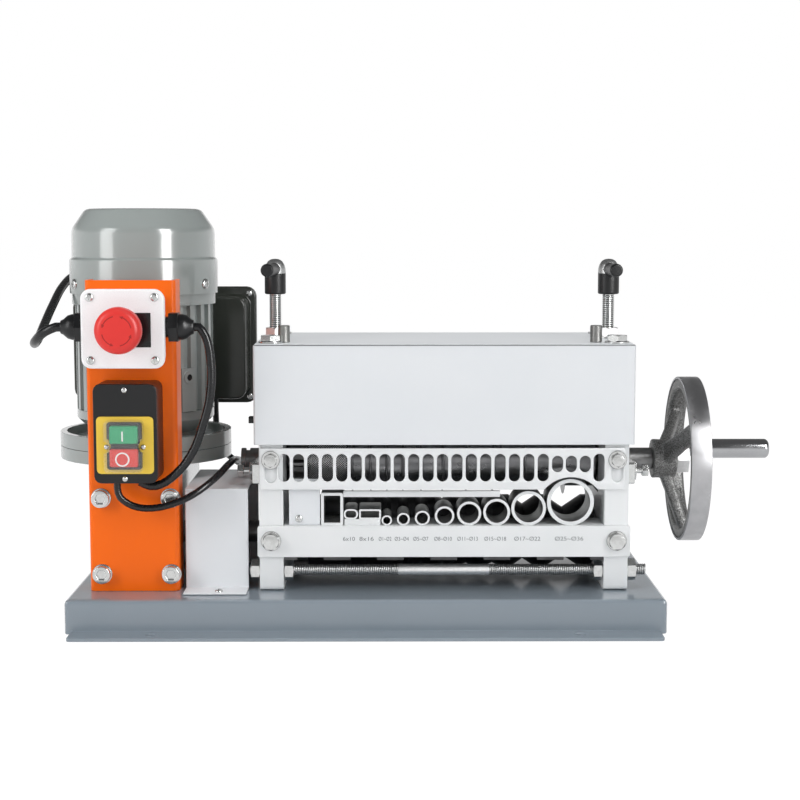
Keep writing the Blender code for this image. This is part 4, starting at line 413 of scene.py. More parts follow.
def hexagon(across_flats):
    return circle(across_flats / cos(pi / 6), 6)


def rounded(width, height, radius, steps=6, centre=(0, 0)):
    """A rectangle with round corners."""
    x, y = width / 2 - radius, height / 2 - radius
    outline = []
    for over, up, start in ((x, y, 0), (-x, y, 90), (-x, -y, 180), (x, -y, 270)):
        outline += arc((centre[0] + over, centre[1] + up), radius, start, start + 90, steps)
    return outline


def obround(size, centre, steps=14):
    """A slot that stands upright, with round ends."""
    width, height = size
    rise = (height - width) / 2
    top = arc((centre[0], centre[1] + rise), width / 2, 0, 180, steps)
    return top + arc((centre[0], centre[1] - rise), width / 2, 180, 360, steps)


def plate(outline, thickness, holes=(), where=(0, 0, 0), turn=UP, soft=0.0):
    """An outline with holes, raised from 0 to its thickness along Z; soft rounds all its edges."""
    curve = bpy.data.curves.new("outline", "CURVE")
    curve.dimensions = "2D"
    curve.fill_mode = "BOTH"
    curve.extrude = thickness / 2 - soft
    curve.bevel_depth = soft
    curve.bevel_resolution = 2
    curve.offset = -soft
    for ring in (outline, *holes):
        spline = curve.splines.new("POLY")
        spline.points.add(len(ring) - 1)
        spline.use_cyclic_u = True
        for point, (x, y) in zip(spline.points, ring):
            point.co = (x, y, 0, 1)
    guide = bpy.data.objects.new("outline", curve)
    filled = bpy.data.meshes.new_from_object(guide)
    bm = bmesh.new()
    bm.from_mesh(filled)
    bmesh.ops.translate(bm, verts=bm.verts, vec=(0, 0, thickness / 2))
    bpy.data.objects.remove(guide)
    return placed(as_mesh(bm), where, turn)


def turned(profile, steps=64, where=(0, 0, 0), turn=UP, smooth=35):
    """A profile of radius and height spun round Z; it is a closed ring unless it ends on the axis."""
    bm = bmesh.new()
    verts = [bm.verts.new((radius, 0, height)) for radius, height in profile]
    edges = [bm.edges.new(pair) for pair in zip(verts, verts[1:])]
    if profile[0][0] > 0 or profile[-1][0] > 0:
        edges.append(bm.edges.new((verts[-1], verts[0])))
    whole = dict(cent=(0, 0, 0), axis=(0, 0, 1), angle=2 * pi, steps=steps, use_merge=True)
    bmesh.ops.spin(bm, geom=verts + edges, **whole)
    return placed(as_mesh(bm, smooth), where, turn)


def block(low, high, bevel=0.0, segments=3):
    """A box between two corners, with all its edges rounded if bevel is given."""
    bm = bmesh.new()
    bmesh.ops.create_cube(bm, size=1)
    bmesh.ops.scale(bm, verts=bm.verts, vec=[b - a for a, b in zip(low, high)])
    bmesh.ops.translate(bm, verts=bm.verts, vec=[(a + b) / 2 for a, b in zip(low, high)])
    if bevel:
        rounding = dict(offset=bevel, segments=segments, profile=0.5, affect="EDGES")
        bmesh.ops.bevel(bm, geom=bm.edges[:], **rounding)
    return as_mesh(bm)


# Leads


def smooth_route(points, step):
    """Points at even steps along a smooth curve through the route; the end stretches stay straight."""
    route = [Vector(point) for point in points]
    fine = []
    for a, b, c, d in zip(route, route[1:], route[2:], route[3:]):
        for part in range(12):
            t = part / 12
            spot = 2 * b + (c - a) * t + (2 * a - 5 * b + 4 * c - d) * t**2
            fine.append((spot + (3 * b - a - 3 * c + d) * t**3) / 2)
    fine.append(route[-2])
    lengths = [0]
    for first, second in zip(fine, fine[1:]):
        lengths.append(lengths[-1] + (second - first).length)
    count = ceil(lengths[-1] / step)
    even, near = [], 0
    for number in range(count + 1):
        target = lengths[-1] * number / count
        while near < len(fine) - 2 and lengths[near + 1] < target:
            near += 1
        share = (target - lengths[near]) / (lengths[near + 1] - lengths[near])
        even.append(fine[near].lerp(fine[near + 1], min(share, 1)))
    return [route[0], *even, route[-1]]


def length_of(points):
    return sum((b - a).length for a, b in zip(points, points[1:]))


def lead(name, points, diameter, stands_for):
    """A round PVC lead along the points, closed at both ends."""
    curve = bpy.data.curves.new(name, "CURVE")
    curve.dimensions = "3D"
    curve.bevel_depth = diameter / 2
    curve.bevel_resolution = 5
    curve.use_fill_caps = True
    spline = curve.splines.new("POLY")
    spline.points.add(len(points) - 1)
    for point, place in zip(spline.points, points):
        point.co = (*at(*place), 1)
    spline.use_smooth = True
    curve.materials.append(PVC)
    made = bpy.data.objects.new(name, curve)
    STAGE.collection.objects.link(made)
    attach(made, "root")
    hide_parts(*stands_for)
    return made


MAINS = 0.008
CONTROL = 0.0075
MOTOR_LEAD = 0.0062
ENTRY_Y = -0.0220
SWITCH_UNDER = 0.1317
TERMINAL_Z, TERMINAL_TALL = 0.2290, 0.1190
BOX_UNDER = 0.17785
COIL_X, COIL_Y = -0.2520, 0.3640
COIL_RADIUS = 0.0440
COIL_TURNS = 1.75
COIL_CLIMB = 0.5
COIL_PITCH = 0.0086
COIL_LOW = 0.0056
COIL_POINTS = 48
PLUG_RUN = 0.046


def control_lead():
    """From the stop box's right gland round to the underside of the switch."""
    tip = STOP_X + LID_WIDE / 2 + GLAND_LONG + 2 * SEAT
    route = [(tip, GLAND_Y, STOP_Z), (tip + CONTROL / 2, GLAND_Y, STOP_Z)]
    route += [
        (-0.1365, -0.0275, 0.2580),
        (-0.1335, -0.0280, 0.2490),
        (-0.1318, -0.0280, 0.2360),
        (-0.1313, -0.0285, 0.2215),
        (-0.1325, -0.0290, 0.2070),
        (-0.1356, -0.0290, 0.1920),
        (-0.1448, -0.0280, 0.1646),
        (-0.1540, -0.0265, 0.1485),
        (-0.1620, -0.0250, 0.1395),
        (-0.1700, -0.0235, 0.1325),
        (-0.1780, ENTRY_Y, 0.1282),
        (-0.1850, ENTRY_Y, 0.1272),
        (-0.1910, ENTRY_Y, 0.1292),
        (-0.1945, ENTRY_Y, 0.1312),
    ]
    points = smooth_route(route, CONTROL * 0.7)
    made = lead("control_cable", points, CONTROL, ["control_lead"])
    length_of(points)


def motor_lead():
    """From the underside of the switch, behind the column, up into the motor's terminal box."""
    route = [(-0.2142, ENTRY_Y, SWITCH_UNDER), (-0.2142, ENTRY_Y, SWITCH_UNDER - MOTOR_LEAD)]
    route += [
        (-0.2120, -0.0220, 0.1175),
        (-0.2042, -0.0210, 0.1111),
        (-0.1952, -0.0200, 0.1080),
        (-0.1859, -0.0200, 0.1075),
        (-0.1745, -0.0190, 0.1090),
        (-0.1606, -0.0180, 0.1135),
        (-0.1493, -0.0150, 0.1189),
        (-0.1384, -0.0080, 0.1260),
        (-0.1290, 0.0040, 0.1335),
        (-0.1240, 0.0160, 0.1385),
        (-0.1213, 0.0320, 0.1402),
        (-0.1208, 0.0500, 0.1395),
        (-0.1206, 0.0720, 0.1370),
        (-0.1200, 0.0950, 0.1330),
        (-0.1188, 0.1200, 0.1270),
        (-0.1180, 0.1550, 0.1180),
        (-0.1225, 0.1850, 0.1140),
        (-0.1330, 0.2080, 0.1150),
        (-0.1460, 0.2210, 0.1230),
        (-0.1540, 0.2265, 0.1380),
    ]
    route += [(-0.1560, 0.2280, BOX_UNDER - 2 * MOTOR_LEAD), (-0.1560, 0.2280, BOX_UNDER)]
    points = smooth_route(route, MOTOR_LEAD * 0.7)
    made = lead("motor_cable", points, MOTOR_LEAD, ["motor_lead"])
    length_of(points)


def coil_points():
    """Two layers of turns: in on the ground, up a layer at the inside, and out again on top."""
    middle = COIL_TURNS + COIL_CLIMB / 2
    inner = COIL_RADIUS - COIL_PITCH * middle / 2
    spiral = []
    for step in range(round((2 * COIL_TURNS + COIL_CLIMB) * COIL_POINTS) + 1):
        turns = step / COIL_POINTS
        radius = inner + COIL_PITCH * abs(turns - middle)
        share = min(1, max(0, (turns - COIL_TURNS) / COIL_CLIMB))
        angle = 2 * pi * turns
        z = COIL_LOW + COIL_PITCH * share
        spiral.append(Vector((COIL_X + radius * cos(angle), COIL_Y + radius * sin(angle), z)))
    return spiral


def level_way(first, second):
    """The level direction from one point to another."""
    way = second - first
    way.z = 0
    return way.normalized()


def mains_lead():
    """Over the terminal box, down behind the base, into a tied coil and on to the plug."""
    coil = coil_points()
    entry_way = level_way(coil[1], coil[0])
    leaving_way = level_way(coil[-2], coil[-1])
    entry = coil[0] + entry_way * MAINS
    leaving = coil[-1] + leaving_way * PLUG_RUN
    tip = STOP_X - LID_WIDE / 2 - GLAND_LONG - 2 * SEAT
    top = TERMINAL_Z + TERMINAL_TALL / 2 + MAINS / 2 + SEAT
    end = entry + entry_way * SEAT
    route = [(tip, GLAND_Y, STOP_Z), (tip - MAINS / 2, GLAND_Y, STOP_Z)]
    route += [
        (-0.2740, -0.0240, 0.2600),
        (-0.2835, -0.0120, 0.2525),
        (-0.2895, 0.0100, 0.2480),
        (-0.2930, 0.0400, 0.2495),
        (-0.2945, 0.0750, 0.2610),
        (-0.2940, 0.1100, 0.2760),
        (-0.2925, 0.1500, 0.2920),
        (-0.2880, 0.1900, 0.3015),
        (-0.2790, 0.2270, top + 0.0040),
        (-0.2670, 0.2540, top + 0.0022),
        (-0.2610, 0.2690, top + 0.0016),
        (-0.2570, 0.2800, 0.2860),
        (-0.2550, 0.2860, 0.2680),
        (-0.2545, 0.2895, 0.2400),
        (-0.2545, 0.2910, 0.2100),
        (-0.2560, 0.2930, 0.1700),
        (-0.2520, 0.2960, 0.1250),
        (-0.2400, 0.2990, 0.0820),
        (-0.2250, 0.3030, 0.0450),
        (-0.2100, 0.3110, 0.0180),
    ]
    route += [end + entry_way * 3 * MAINS, end + entry_way * MAINS, end]
    points = [*smooth_route(route, MAINS * 0.7)[:-1], entry, *coil, leaving]
    made = lead("mains_cable", points, MAINS, ["mains_lead", "mains_coil"])
    return made, points, leaving, leaving_way


def laid(solids, heading):
    """Solids in one mesh, moved by a matrix and smoothed but for their sharp edges."""
    mesh = joined(solids)
    mesh.transform(heading)
    mesh.shade_smooth()
    mesh.set_sharp_from_angle(angle=radians(40))
    return mesh


def plug(start, way):
    """A rubber-backed two-pin plug lying behind the coil."""
    heading = Matrix.Translation(at(*(start + way * SEAT))) @ Matrix.Rotation(atan2(way.y, way.x), 4, "Z")
    z = start.z
    near, far, half, tall = 0.016, 0.054, 0.013, 0.024
    body = block((near, -half, SEAT - z), (far, half, tall - z), 0.006, 4)
    relief = [(0, 0), (MAINS * 0.60, 0), (MAINS * 0.62, 0.0005)]
    for rib in range(5):
        foot = 0.001 + rib * 0.0036
        size = MAINS * (0.64 + 0.035 * rib)
        waist = size - 0.0009
        relief += [(size, foot), (size, foot + 0.002), (waist, foot + 0.0022), (waist, foot + 0.0034)]
    relief += [(MAINS * 0.8, 0.020), (0, 0.020)]
    shell = laid([body, turned(relief, 32, (0, 0, 0), RIGHTWARD)], heading)
    body_piece = piece("plug_body", shell, BLACK_ABS, stands_for=["mains_plug"])
    radius, long, spread = 0.0024, 0.022, 0.0095
    tip = [(0, 0), (radius, 0), (radius, 0.0205), (0.0018, 0.0216), (0.0010, long), (0, long)]
    pins = [turned(tip, 24, (0.051, side * spread, tall / 2 - z), RIGHTWARD) for side in (-1, 1)]
    return body_piece, piece("plug_pins", laid(pins, heading), NICKEL)


control_lead()
motor_lead()
mains, mains_points, plug_start, plug_way = mains_lead()
plug_pieces = plug(plug_start, plug_way)
at(*mains_points[0])
length_of(mains_points)

# Screws and other repeated parts


def toned(mesh, finishes, choose):
    """Gives each face one of the finishes, by its middle and its normal."""
    mesh.materials.clear()
    for finish in finishes:
        mesh.materials.append(finish)
    for face in mesh.polygons:
        face.material_index = choose(face.center, face.normal)
    return mesh


def solved(guide):
    """The plain mesh of an object after its modifiers; the object is removed."""
    bpy.context.view_layer.update()
    seen = guide.evaluated_get(bpy.context.evaluated_depsgraph_get())
    mesh = bpy.data.meshes.new_from_object(seen)
    bpy.data.objects.remove(guide)
    return mesh


def new_tree(name, inputs):
    """An empty geometry tree with named inputs and one output; gives the tree and the ids by name."""
    tree = bpy.data.node_groups.new(name, "GeometryNodeTree")
    ids = {}
    for title, kind in inputs:
        made = tree.interface.new_socket(title, in_out="INPUT", socket_type=kind)
        ids[title] = made.identifier
    tree.interface.new_socket("Geometry", in_out="OUTPUT", socket_type="NodeSocketGeometry")
    return tree, ids


def grown(tree, ids, values, start=None):
    """Runs a tree on a mesh and gives the result as a plain mesh."""
    guide = bpy.data.objects.new("guide", start or bpy.data.meshes.new("start"))
    STAGE.collection.objects.link(guide)
    step = guide.modifiers.new("tree", "NODES")
    step.node_group = tree
    for title, value in values.items():
        step[ids[title]] = value
    return solved(guide)


def fitting_tree():
    """Puts one fitting on every point, turned as the point's own rotation says."""
    names = [("Points", "NodeSocketGeometry"), ("Fitting", "NodeSocketObject")]
    names += [("Finish", "NodeSocketMaterial"), ("Chamfer_Shade", "NodeSocketMaterial")]
    tree, ids = new_tree("fittings", names)
    given = add(tree, "NodeGroupInput")
    part = add(tree, "GeometryNodeObjectInfo", {"Object": given.outputs["Fitting"]})
    turn = add(tree, "GeometryNodeInputNamedAttribute", {"Name": "turn"}, data_type="FLOAT_VECTOR")
    angle = add(tree, "FunctionNodeEulerToRotation", {0: turn.outputs["Attribute"]})
    links = {"Points": given.outputs["Points"], "Instance": part.outputs["Geometry"], "Rotation": angle}
    spread = add(tree, "GeometryNodeInstanceOnPoints", links)
    solid = add(tree, "GeometryNodeRealizeInstances", {"Geometry": spread})
    dressed = add(tree, "GeometryNodeSetMaterial", {"Geometry": solid, "Material": given.outputs["Finish"]})
    # Faces marked as edge take the second finish, the grey of painted shade.
    edge = add(tree, "GeometryNodeInputNamedAttribute", {"Name": "edge"}, data_type="BOOLEAN")
    trim = {"Geometry": dressed, "Selection": edge.outputs["Attribute"], "Material": given.outputs["Chamfer_Shade"]}
    trimmed = add(tree, "GeometryNodeSetMaterial", trim)
    add(tree, "NodeGroupOutput", {0: trimmed})
    return tree, ids


FITTINGS = fitting_tree()


def fitted(name, shape, places, material=ZINC):
    """One piece that holds a fitting at each place; a place is a point and the turn there."""
    sample = bpy.data.objects.new("fitting", shape)
    STAGE.collection.objects.link(sample)
    points = bpy.data.meshes.new("points")
    points.from_pydata([at(*point) for point, turn in places], [], [])
    turns = points.attributes.new("turn", "FLOAT_VECTOR", "POINT")
    for value, (point, turn) in zip(turns.data, places):
        value.vector = turn.to_euler()
    tree, ids = FITTINGS
    mesh = grown(tree, ids, {"Fitting": sample, "Finish": material, "Chamfer_Shade": CHAMFER_SHADE_ZINC}, points)
    bpy.data.objects.remove(sample)
    piece(name, mesh, None)


def spots(across, back, up, turn):
    """A place at each pairing of the given X, Y and Z, all turned one way."""
    return [((x, y, z), turn) for x in across for y in back for z in up]


def chamfered_hex(across, tall, bore=0.0):
    """A hexagon head or nut whose corners are turned off, as a stack of outlines along Z."""
    bm = bmesh.new()
    half = across / 2
    corner = half / cos(pi / 6)
    slope = (corner - half) * 0.55
    steps = 60
    angles = [2 * pi * step / steps for step in range(steps)]
    face = half * 0.985

    def ring(reaches, levels):
        """A closed row of corners, one for each angle."""
        spun = zip(angles, reaches, levels)
        return [bm.verts.new((reach * cos(angle), reach * sin(angle), level)) for angle, reach, level in spun]

    sides = [half / cos((angle + pi / 6) % (pi / 3) - pi / 6) for angle in angles]
    inset = [slope * (reach - half) / (corner - half) for reach in sides]
    rings = [ring([face] * steps, [0] * steps), ring(sides, inset)]
    rings += [ring(sides, [tall - drop for drop in inset]), ring([face] * steps, [tall] * steps)]
    if bore:
        rings += [ring([bore / 2] * steps, [height] * steps) for height in (tall, 0)]
        rings.append(rings[0])
    for low, high in zip(rings, rings[1:]):
        for step in range(steps):
            after = (step + 1) % steps
            bm.faces.new((low[step], low[after], high[after], high[step]))
    if not bore:
        bm.faces.new(rings[0])
        bm.faces.new(rings[-1])
    return as_mesh(bm, 25)


def washer(outer, inner, thick):
    soft = thick * 0.2
    profile = [(inner / 2, 0), (outer / 2 - soft, 0), (outer / 2, soft), (outer / 2, thick - soft)]
    profile += [(outer / 2 - soft, thick), (inner / 2, thick)]
    return turned(profile, 48)


def shade_chamfers(mesh):
    """Marks the slopes between the upright sides and the flat top of a head or nut for a grey of painted
    shade.
    """
    edge = mesh.attributes.new("edge", "BOOLEAN", "FACE")
    for face in mesh.polygons:
        edge.data[face.index].value = 0.15 < abs(face.normal.z) < 0.97
    return mesh


def hex_bolt(across, tall, disc, thick):
    """A washer with a hexagon head on it, seated at Z 0."""
    head = placed(chamfered_hex(across, tall), (0, 0, thick))
    return shade_chamfers(joined([washer(disc, across * 0.45, thick), head]))


def socket_screw(head, tall, disc, thick):
    """A cylinder head with a hexagon socket, on its washer."""
    soft = 0.0006
    body = plate(circle(head), tall, [hexagon(head * 0.52)], (0, 0, thick), UP, soft)
    floor = plate(circle(head * 0.7, 24), tall * 0.45, (), (0, 0, thick))
    return joined([body, floor, washer(disc, head / 2, thick)])


def cross_screw(head, tall):
    """A domed head with a cross recess."""
    radius = head / 2
    dome = [(0, 0), (radius, 0), (radius, tall * 0.25), (radius * 0.93, tall * 0.55)]
    dome += [(radius * 0.75, tall * 0.85), (radius * 0.45, tall), (0, tall)]
    solid = turned(dome, 32)
    arm = block((-radius * 0.62, -head * 0.07, tall * 0.35), (radius * 0.62, head * 0.07, tall * 2))
    other = placed(arm.copy(), (0, 0, 0), Matrix.Rotation(pi / 2, 4, "Z"))
    return carved(solid, arm, other)


def carved(mesh, *others):
    """The solid after each of the others is cut out of it."""
    solid = bpy.data.objects.new("solid", mesh)
    STAGE.collection.objects.link(solid)
    tools = []
    for other in others:
        tool = bpy.data.objects.new("tool", other)
        STAGE.collection.objects.link(tool)
        tools.append(tool)
        step = solid.modifiers.new("cut", "BOOLEAN")
        step.operation = "DIFFERENCE"
        step.solver = "EXACT"
        step.object = tool
    made = solved(solid)
    for tool in tools:
        bpy.data.objects.remove(tool)
    made.materials.clear()
    made.shade_smooth()
    made.set_sharp_from_angle(angle=radians(35))
    return made


def thread_tree():
    """A helical ridge round a core along Z."""
    names = [("Length", "NodeSocketFloat"), ("Radius", "NodeSocketFloat")]
    names += [("Pitch", "NodeSocketFloat"), ("Finish", "NodeSocketMaterial")]
    tree, ids = new_tree("thread", names)
    given = add(tree, "NodeGroupInput")
    length, radius, pitch = (given.outputs[title] for title in ("Length", "Radius", "Pitch"))
    depth = add(tree, "ShaderNodeMath", {0: pitch, 1: 0.5}, operation="MULTIPLY")
    middle = add(tree, "ShaderNodeMath", {0: radius, 1: depth}, operation="SUBTRACT")
    wound = add(tree, "ShaderNodeMath", {0: length, 1: pitch}, operation="DIVIDE")
    helix = {"Resolution": 24, "Rotations": wound, "Start Radius": middle, "End Radius": middle}
    line = add(tree, "GeometryNodeCurveSpiral", helix | {"Height": length})
    upright = add(tree, "GeometryNodeSetCurveNormal", {"Curve": line}, mode="Z_UP")
    section = add(tree, "GeometryNodeCurvePrimitiveCircle", {"Resolution": 4, "Radius": depth})
    ridge = {"Curve": upright, "Profile Curve": section.outputs["Curve"], "Fill Caps": True}
    sweep = add(tree, "GeometryNodeCurveToMesh", ridge)
    core = {"Vertices": 24, "Radius": middle, "Depth": length}
    bar = add(tree, "GeometryNodeMeshCylinder", core)
    half = add(tree, "ShaderNodeMath", {0: length, 1: 0.5}, operation="MULTIPLY")
    shift = add(tree, "ShaderNodeCombineXYZ", {"Z": half})
    lifted = add(tree, "GeometryNodeTransform", {"Geometry": bar.outputs["Mesh"], "Translation": shift})
    both = add(tree, "GeometryNodeJoinGeometry")
    tree.links.new(sweep.outputs[0], both.inputs[0])
    tree.links.new(lifted.outputs[0], both.inputs[0])
    solid = add(tree, "GeometryNodeRealizeInstances", {"Geometry": both})
    dressed = add(tree, "GeometryNodeSetMaterial", {"Geometry": solid, "Material": given.outputs["Finish"]})
    add(tree, "NodeGroupOutput", {0: dressed})
    return tree, ids


THREAD = thread_tree()


def thread(length, diameter, pitch, where, turn=UP):
    """A threaded stretch of rod, starting at a place and running along the turned Z axis."""
    tree, ids = THREAD
    values = {"Length": length, "Radius": diameter / 2, "Pitch": pitch, "Finish": ZINC}
    mesh = grown(tree, ids, values)
    return placed(mesh, where, turn)


def outside_screws():
    """The bolts and screws that a spanner or a driver reaches from outside."""
    guard = spots(BOLTS, [GUARD_FACE], [0.1470], FORWARD)
    fitted("guard_bolts", hex_bolt(across=0.0105, tall=0.0042, disc=0.0160, thick=0.0014), guard)
    bar = spots(BOLTS, [BAR_FACE], [0.0755], FORWARD)
    fitted("bar_bolts", hex_bolt(across=0.0135, tall=0.0052, disc=0.0175, thick=0.0014), bar)
    corners = spots(BOLTS, (FRONT_ROW, REAR_ROW), [COVER_TOP], UP)
    fitted("cover_bolts", hex_bolt(across=0.0165, tall=0.0052, disc=0.0215, thick=0.0016), corners)
    column = spots((-0.2324, -0.1716), [0], (0.1131, 0.0456), FORWARD)
    fitted("column_screws", socket_screw(head=0.0155, tall=0.0060, disc=0.0175, thick=0.0012), column)
    lid = spots((-0.2293, -0.1752), [LID_FACE - 0.0001], (0.2385, 0.2911), FORWARD)
    fitted("lid_screws", cross_screw(head=0.0072, tall=0.0016), lid)
    switch_face = -0.0383
    switch = [((-0.2043, switch_face, 0.2119), FORWARD), ((-0.2047, switch_face, 0.1360), FORWARD)]
    fitted("switch_screws", cross_screw(head=0.0048, tall=0.0012), switch)


def adjusting_screws():
    """Threaded stems, each with a lock nut on its washer on the cover."""
    bore, thick = 0.0112, 0.0016
    for side, x in (("left", BOLT_LEFT), ("right", BOLT_RIGHT)):
        low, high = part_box(side + "_adjusting_screw")
        stem = thread(high.z - low.z, 0.0114, 0.0019, at(x, SHAFT_Y, low.z))
        piece(side + "_screw_thread", stem, None, side + "_screw", [side + "_adjusting_screw"])
    nut = shade_chamfers(chamfered_hex(0.017, 0.008, bore))
    fitted("lock_nuts", nut, spots(BOLTS, [SHAFT_Y], [COVER_TOP + thick], UP), KNURL_STEEL)
    fitted("lock_washers", washer(0.0225, bore, thick), spots(BOLTS, [SHAFT_Y], [COVER_TOP], UP))


outside_screws()
adjusting_screws()

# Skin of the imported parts


def skin_tree():
    """Smooth shading, but for the edges that bend more than an angle."""
    tree, ids = new_tree("smooth_skin", [("Part", "NodeSocketGeometry"), ("Angle", "NodeSocketFloat")])
    given = add(tree, "NodeGroupInput")
    smooth = add(tree, "GeometryNodeSetShadeSmooth", {0: given.outputs["Part"]}, domain="FACE")
    bend = add(tree, "GeometryNodeInputMeshEdgeAngle")
    limits = {0: bend.outputs["Unsigned Angle"], 1: given.outputs["Angle"]}
    sharp = add(tree, "FunctionNodeCompare", limits, data_type="FLOAT", operation="GREATER_THAN")
    edges = add(tree, "GeometryNodeSetShadeSmooth", {0: smooth, 1: sharp, 2: False}, domain="EDGE")
    add(tree, "NodeGroupOutput", {0: edges})
    return tree, ids


SKIN = skin_tree()


def eased(nodes, width=0.0, segments=2):
    """Merges the corners of each part, rounds its sharp edges by a width and smooths its round faces."""
    tree, ids = SKIN
    bend = 35
    for name in nodes:
        steps = NODES[name].modifiers
        steps.new("weld", "WELD").merge_threshold = 0.00001
        flat = steps.new("flat", "DECIMATE")
        flat.decimate_type = "DISSOLVE"
        flat.angle_limit = radians(0.5)
        if width:
            rounding = steps.new("edges", "BEVEL")
            rounding.width = width
            rounding.segments = segments
            rounding.limit_method = "ANGLE"
            rounding.angle_limit = radians(bend)
        skin = steps.new("skin", "NODES")
        skin.node_group = tree
        skin[ids["Angle"]] = radians(60 if width else bend)
        steps.new("normals", "WEIGHTED_NORMAL").keep_sharp = True


eased(["base_pan"], 0.0012, 3)
eased(["top_cover", "coupling_guard", "control_column"], 0.0007)
eased(["left_end_frame", "right_end_frame", "size_bar", "gear_guard", "slotted_guard"], 0.0004)
eased(["left_bearing_block", "right_bearing_block", "left_side_clamp", "right_side_clamp"], 0.0004)
eased(["terminal_box", "terminal_box_lid"], 0.0020, 3)
eased(["gearbox_housing", "motor_end_shield"], 0.0010)
eased(["motor_body"], 0.0003)
eased(["estop_box_base"], 0.0010, 3)
eased(["estop_box_lid"], 0.0012, 3)
eased(["switch_box"], 0.0014, 3)
eased(["switch_face_plate", "start_button", "stop_button", "estop_stem"], 0.0004)
eased(["left_gland", "right_gland", "wheel_nut"], 0.0005)
eased(["upper_gear", "lower_gear", "shaft_coupling", "coil_tie"], 0.0003)
eased(["upper_shaft", "lower_shaft", "feed_rollers", "cooling_fan"])
for side in ("left", "right"):
    eased([side + "_upper_bearing", side + "_lower_bearing"])

# Finer forms of turned, cast and tubular parts


def filleted(points, radius, steps=5):
    """The open line through the points, with its corners rounded."""
    path = [Vector(point) for point in points]
    line = [path[0]]
    for before, corner, after in zip(path, path[1:], path[2:]):
        back, on = before - corner, after - corner
        reach = min(radius, back.length * 0.45, on.length * 0.45)
        start, end = corner + back.normalized() * reach, corner + on.normalized() * reach
        for step in range(steps + 1):
            t = step / steps
            line.append((1 - t) ** 2 * start + 2 * t * (1 - t) * corner + t**2 * end)
    line.append(path[-1])
    return [tuple(point) for point in line]


COWL_LOW, COWL_STEP, COWL_TOP = 0.2880, 0.3195, 0.3660
SKIRT, COWL, CROWN = 0.0687, 0.0665, 0.0535
SHEET = 0.0015


def fan_cover():
    """The pressed cowl: a skirt with a step, a drawn shoulder, and a ring of slots in its top."""
    outside = [(SKIRT, COWL_LOW), (SKIRT, COWL_STEP), (COWL, COWL_STEP + SHEET)]
    outside += [(COWL, COWL_TOP - 0.019), (CROWN, COWL_TOP), (0, COWL_TOP)]
    inside = [(max(radius - SHEET, 0), height - SHEET) for radius, height in reversed(outside[1:])]
    inside.append((SKIRT - SHEET, COWL_LOW))
    profile = filleted(inside, 0.003) + filleted(outside, 0.0045)
    cowl = turned(profile, 128, at(MOTOR_X, MOTOR_Y, 0))
    slots = []
    count = 12
    for number in range(count):
        turn = Matrix.Rotation(2 * pi * number / count, 4, "Z")
        slot = obround((0.0045, 0.026), (0, 0.031), 10)
        slots.append(plate(slot, 0.02, (), at(MOTOR_X, MOTOR_Y, COWL_TOP - 0.01), turn))
    cowl = carved(cowl, joined(slots))
    piece("fan_cowl", cowl, MOTOR_ENAMEL, stands_for=["fan_cover"])


def round_cowl(angle, height, reach=SKIRT):
    """A place on the motor's side and the turn that faces out there."""
    turn = Matrix.Rotation(radians(angle), 4, "Z")
    place = (MOTOR_X + reach * cos(radians(angle)), MOTOR_Y + reach * sin(radians(angle)), height)
    return place, turn @ RIGHTWARD


RIM_LEFT, RIM_RIGHT = 0.2850, 0.3025
GRIP_Y = 0.1385


def handwheel():
    """A rough casting with filleted arms, in a rim that is turned bright outside."""
    bm = bmesh.new()
    bm.from_mesh(NODES["handwheel"].data)
    casting = bpy.data.objects.new("casting", as_mesh(bm))
    STAGE.collection.objects.link(casting)
    grains = casting.modifiers.new("grains", "REMESH")
    grains.mode = "VOXEL"
    grains.voxel_size = 0.0010
    soft = casting.modifiers.new("soft", "SMOOTH")
    soft.factor = 0.6
    soft.iterations = 6
    rough = solved(casting)
    rough.shade_smooth()
    piece("wheel_casting", rough, CAST_IRON, "upper_drive", ["handwheel"])
    outer, inner, proud = 0.0752, 0.0731, 0.0003
    left, right = RIM_LEFT - proud, RIM_RIGHT + proud
    ring = filleted([(inner, left), (outer, left), (outer, right), (inner, right)], 0.0008, 3)
    band = turned(ring, 160, at(0, SHAFT_Y, UPPER_Z), RIGHTWARD)
    piece("wheel_rim", band, RIM_STEEL, "upper_drive")


def crank_grip():
    """The plated grip, necked next to the wheel and rounded at its end."""
    bore, deep, long = 0.0043, 0.0739, 0.0810
    neck, full = 0.0070, 0.00925
    profile = [(0, deep), (bore, deep), (bore, 0)]
    profile += filleted([(neck, 0), (neck, 0.006), (full, 0.012)], 0.004)
    profile += filleted([(full, long - 0.010), (full, long - 0.0025), (0.0068, long), (0, long)], 0.002)
    grip = turned(profile, 64, at(0.3029, GRIP_Y, UPPER_Z), RIGHTWARD)
    piece("crank_handle", grip, CHROME, "crank_grip", ["grip"])


HEAD_BACK = -0.0656


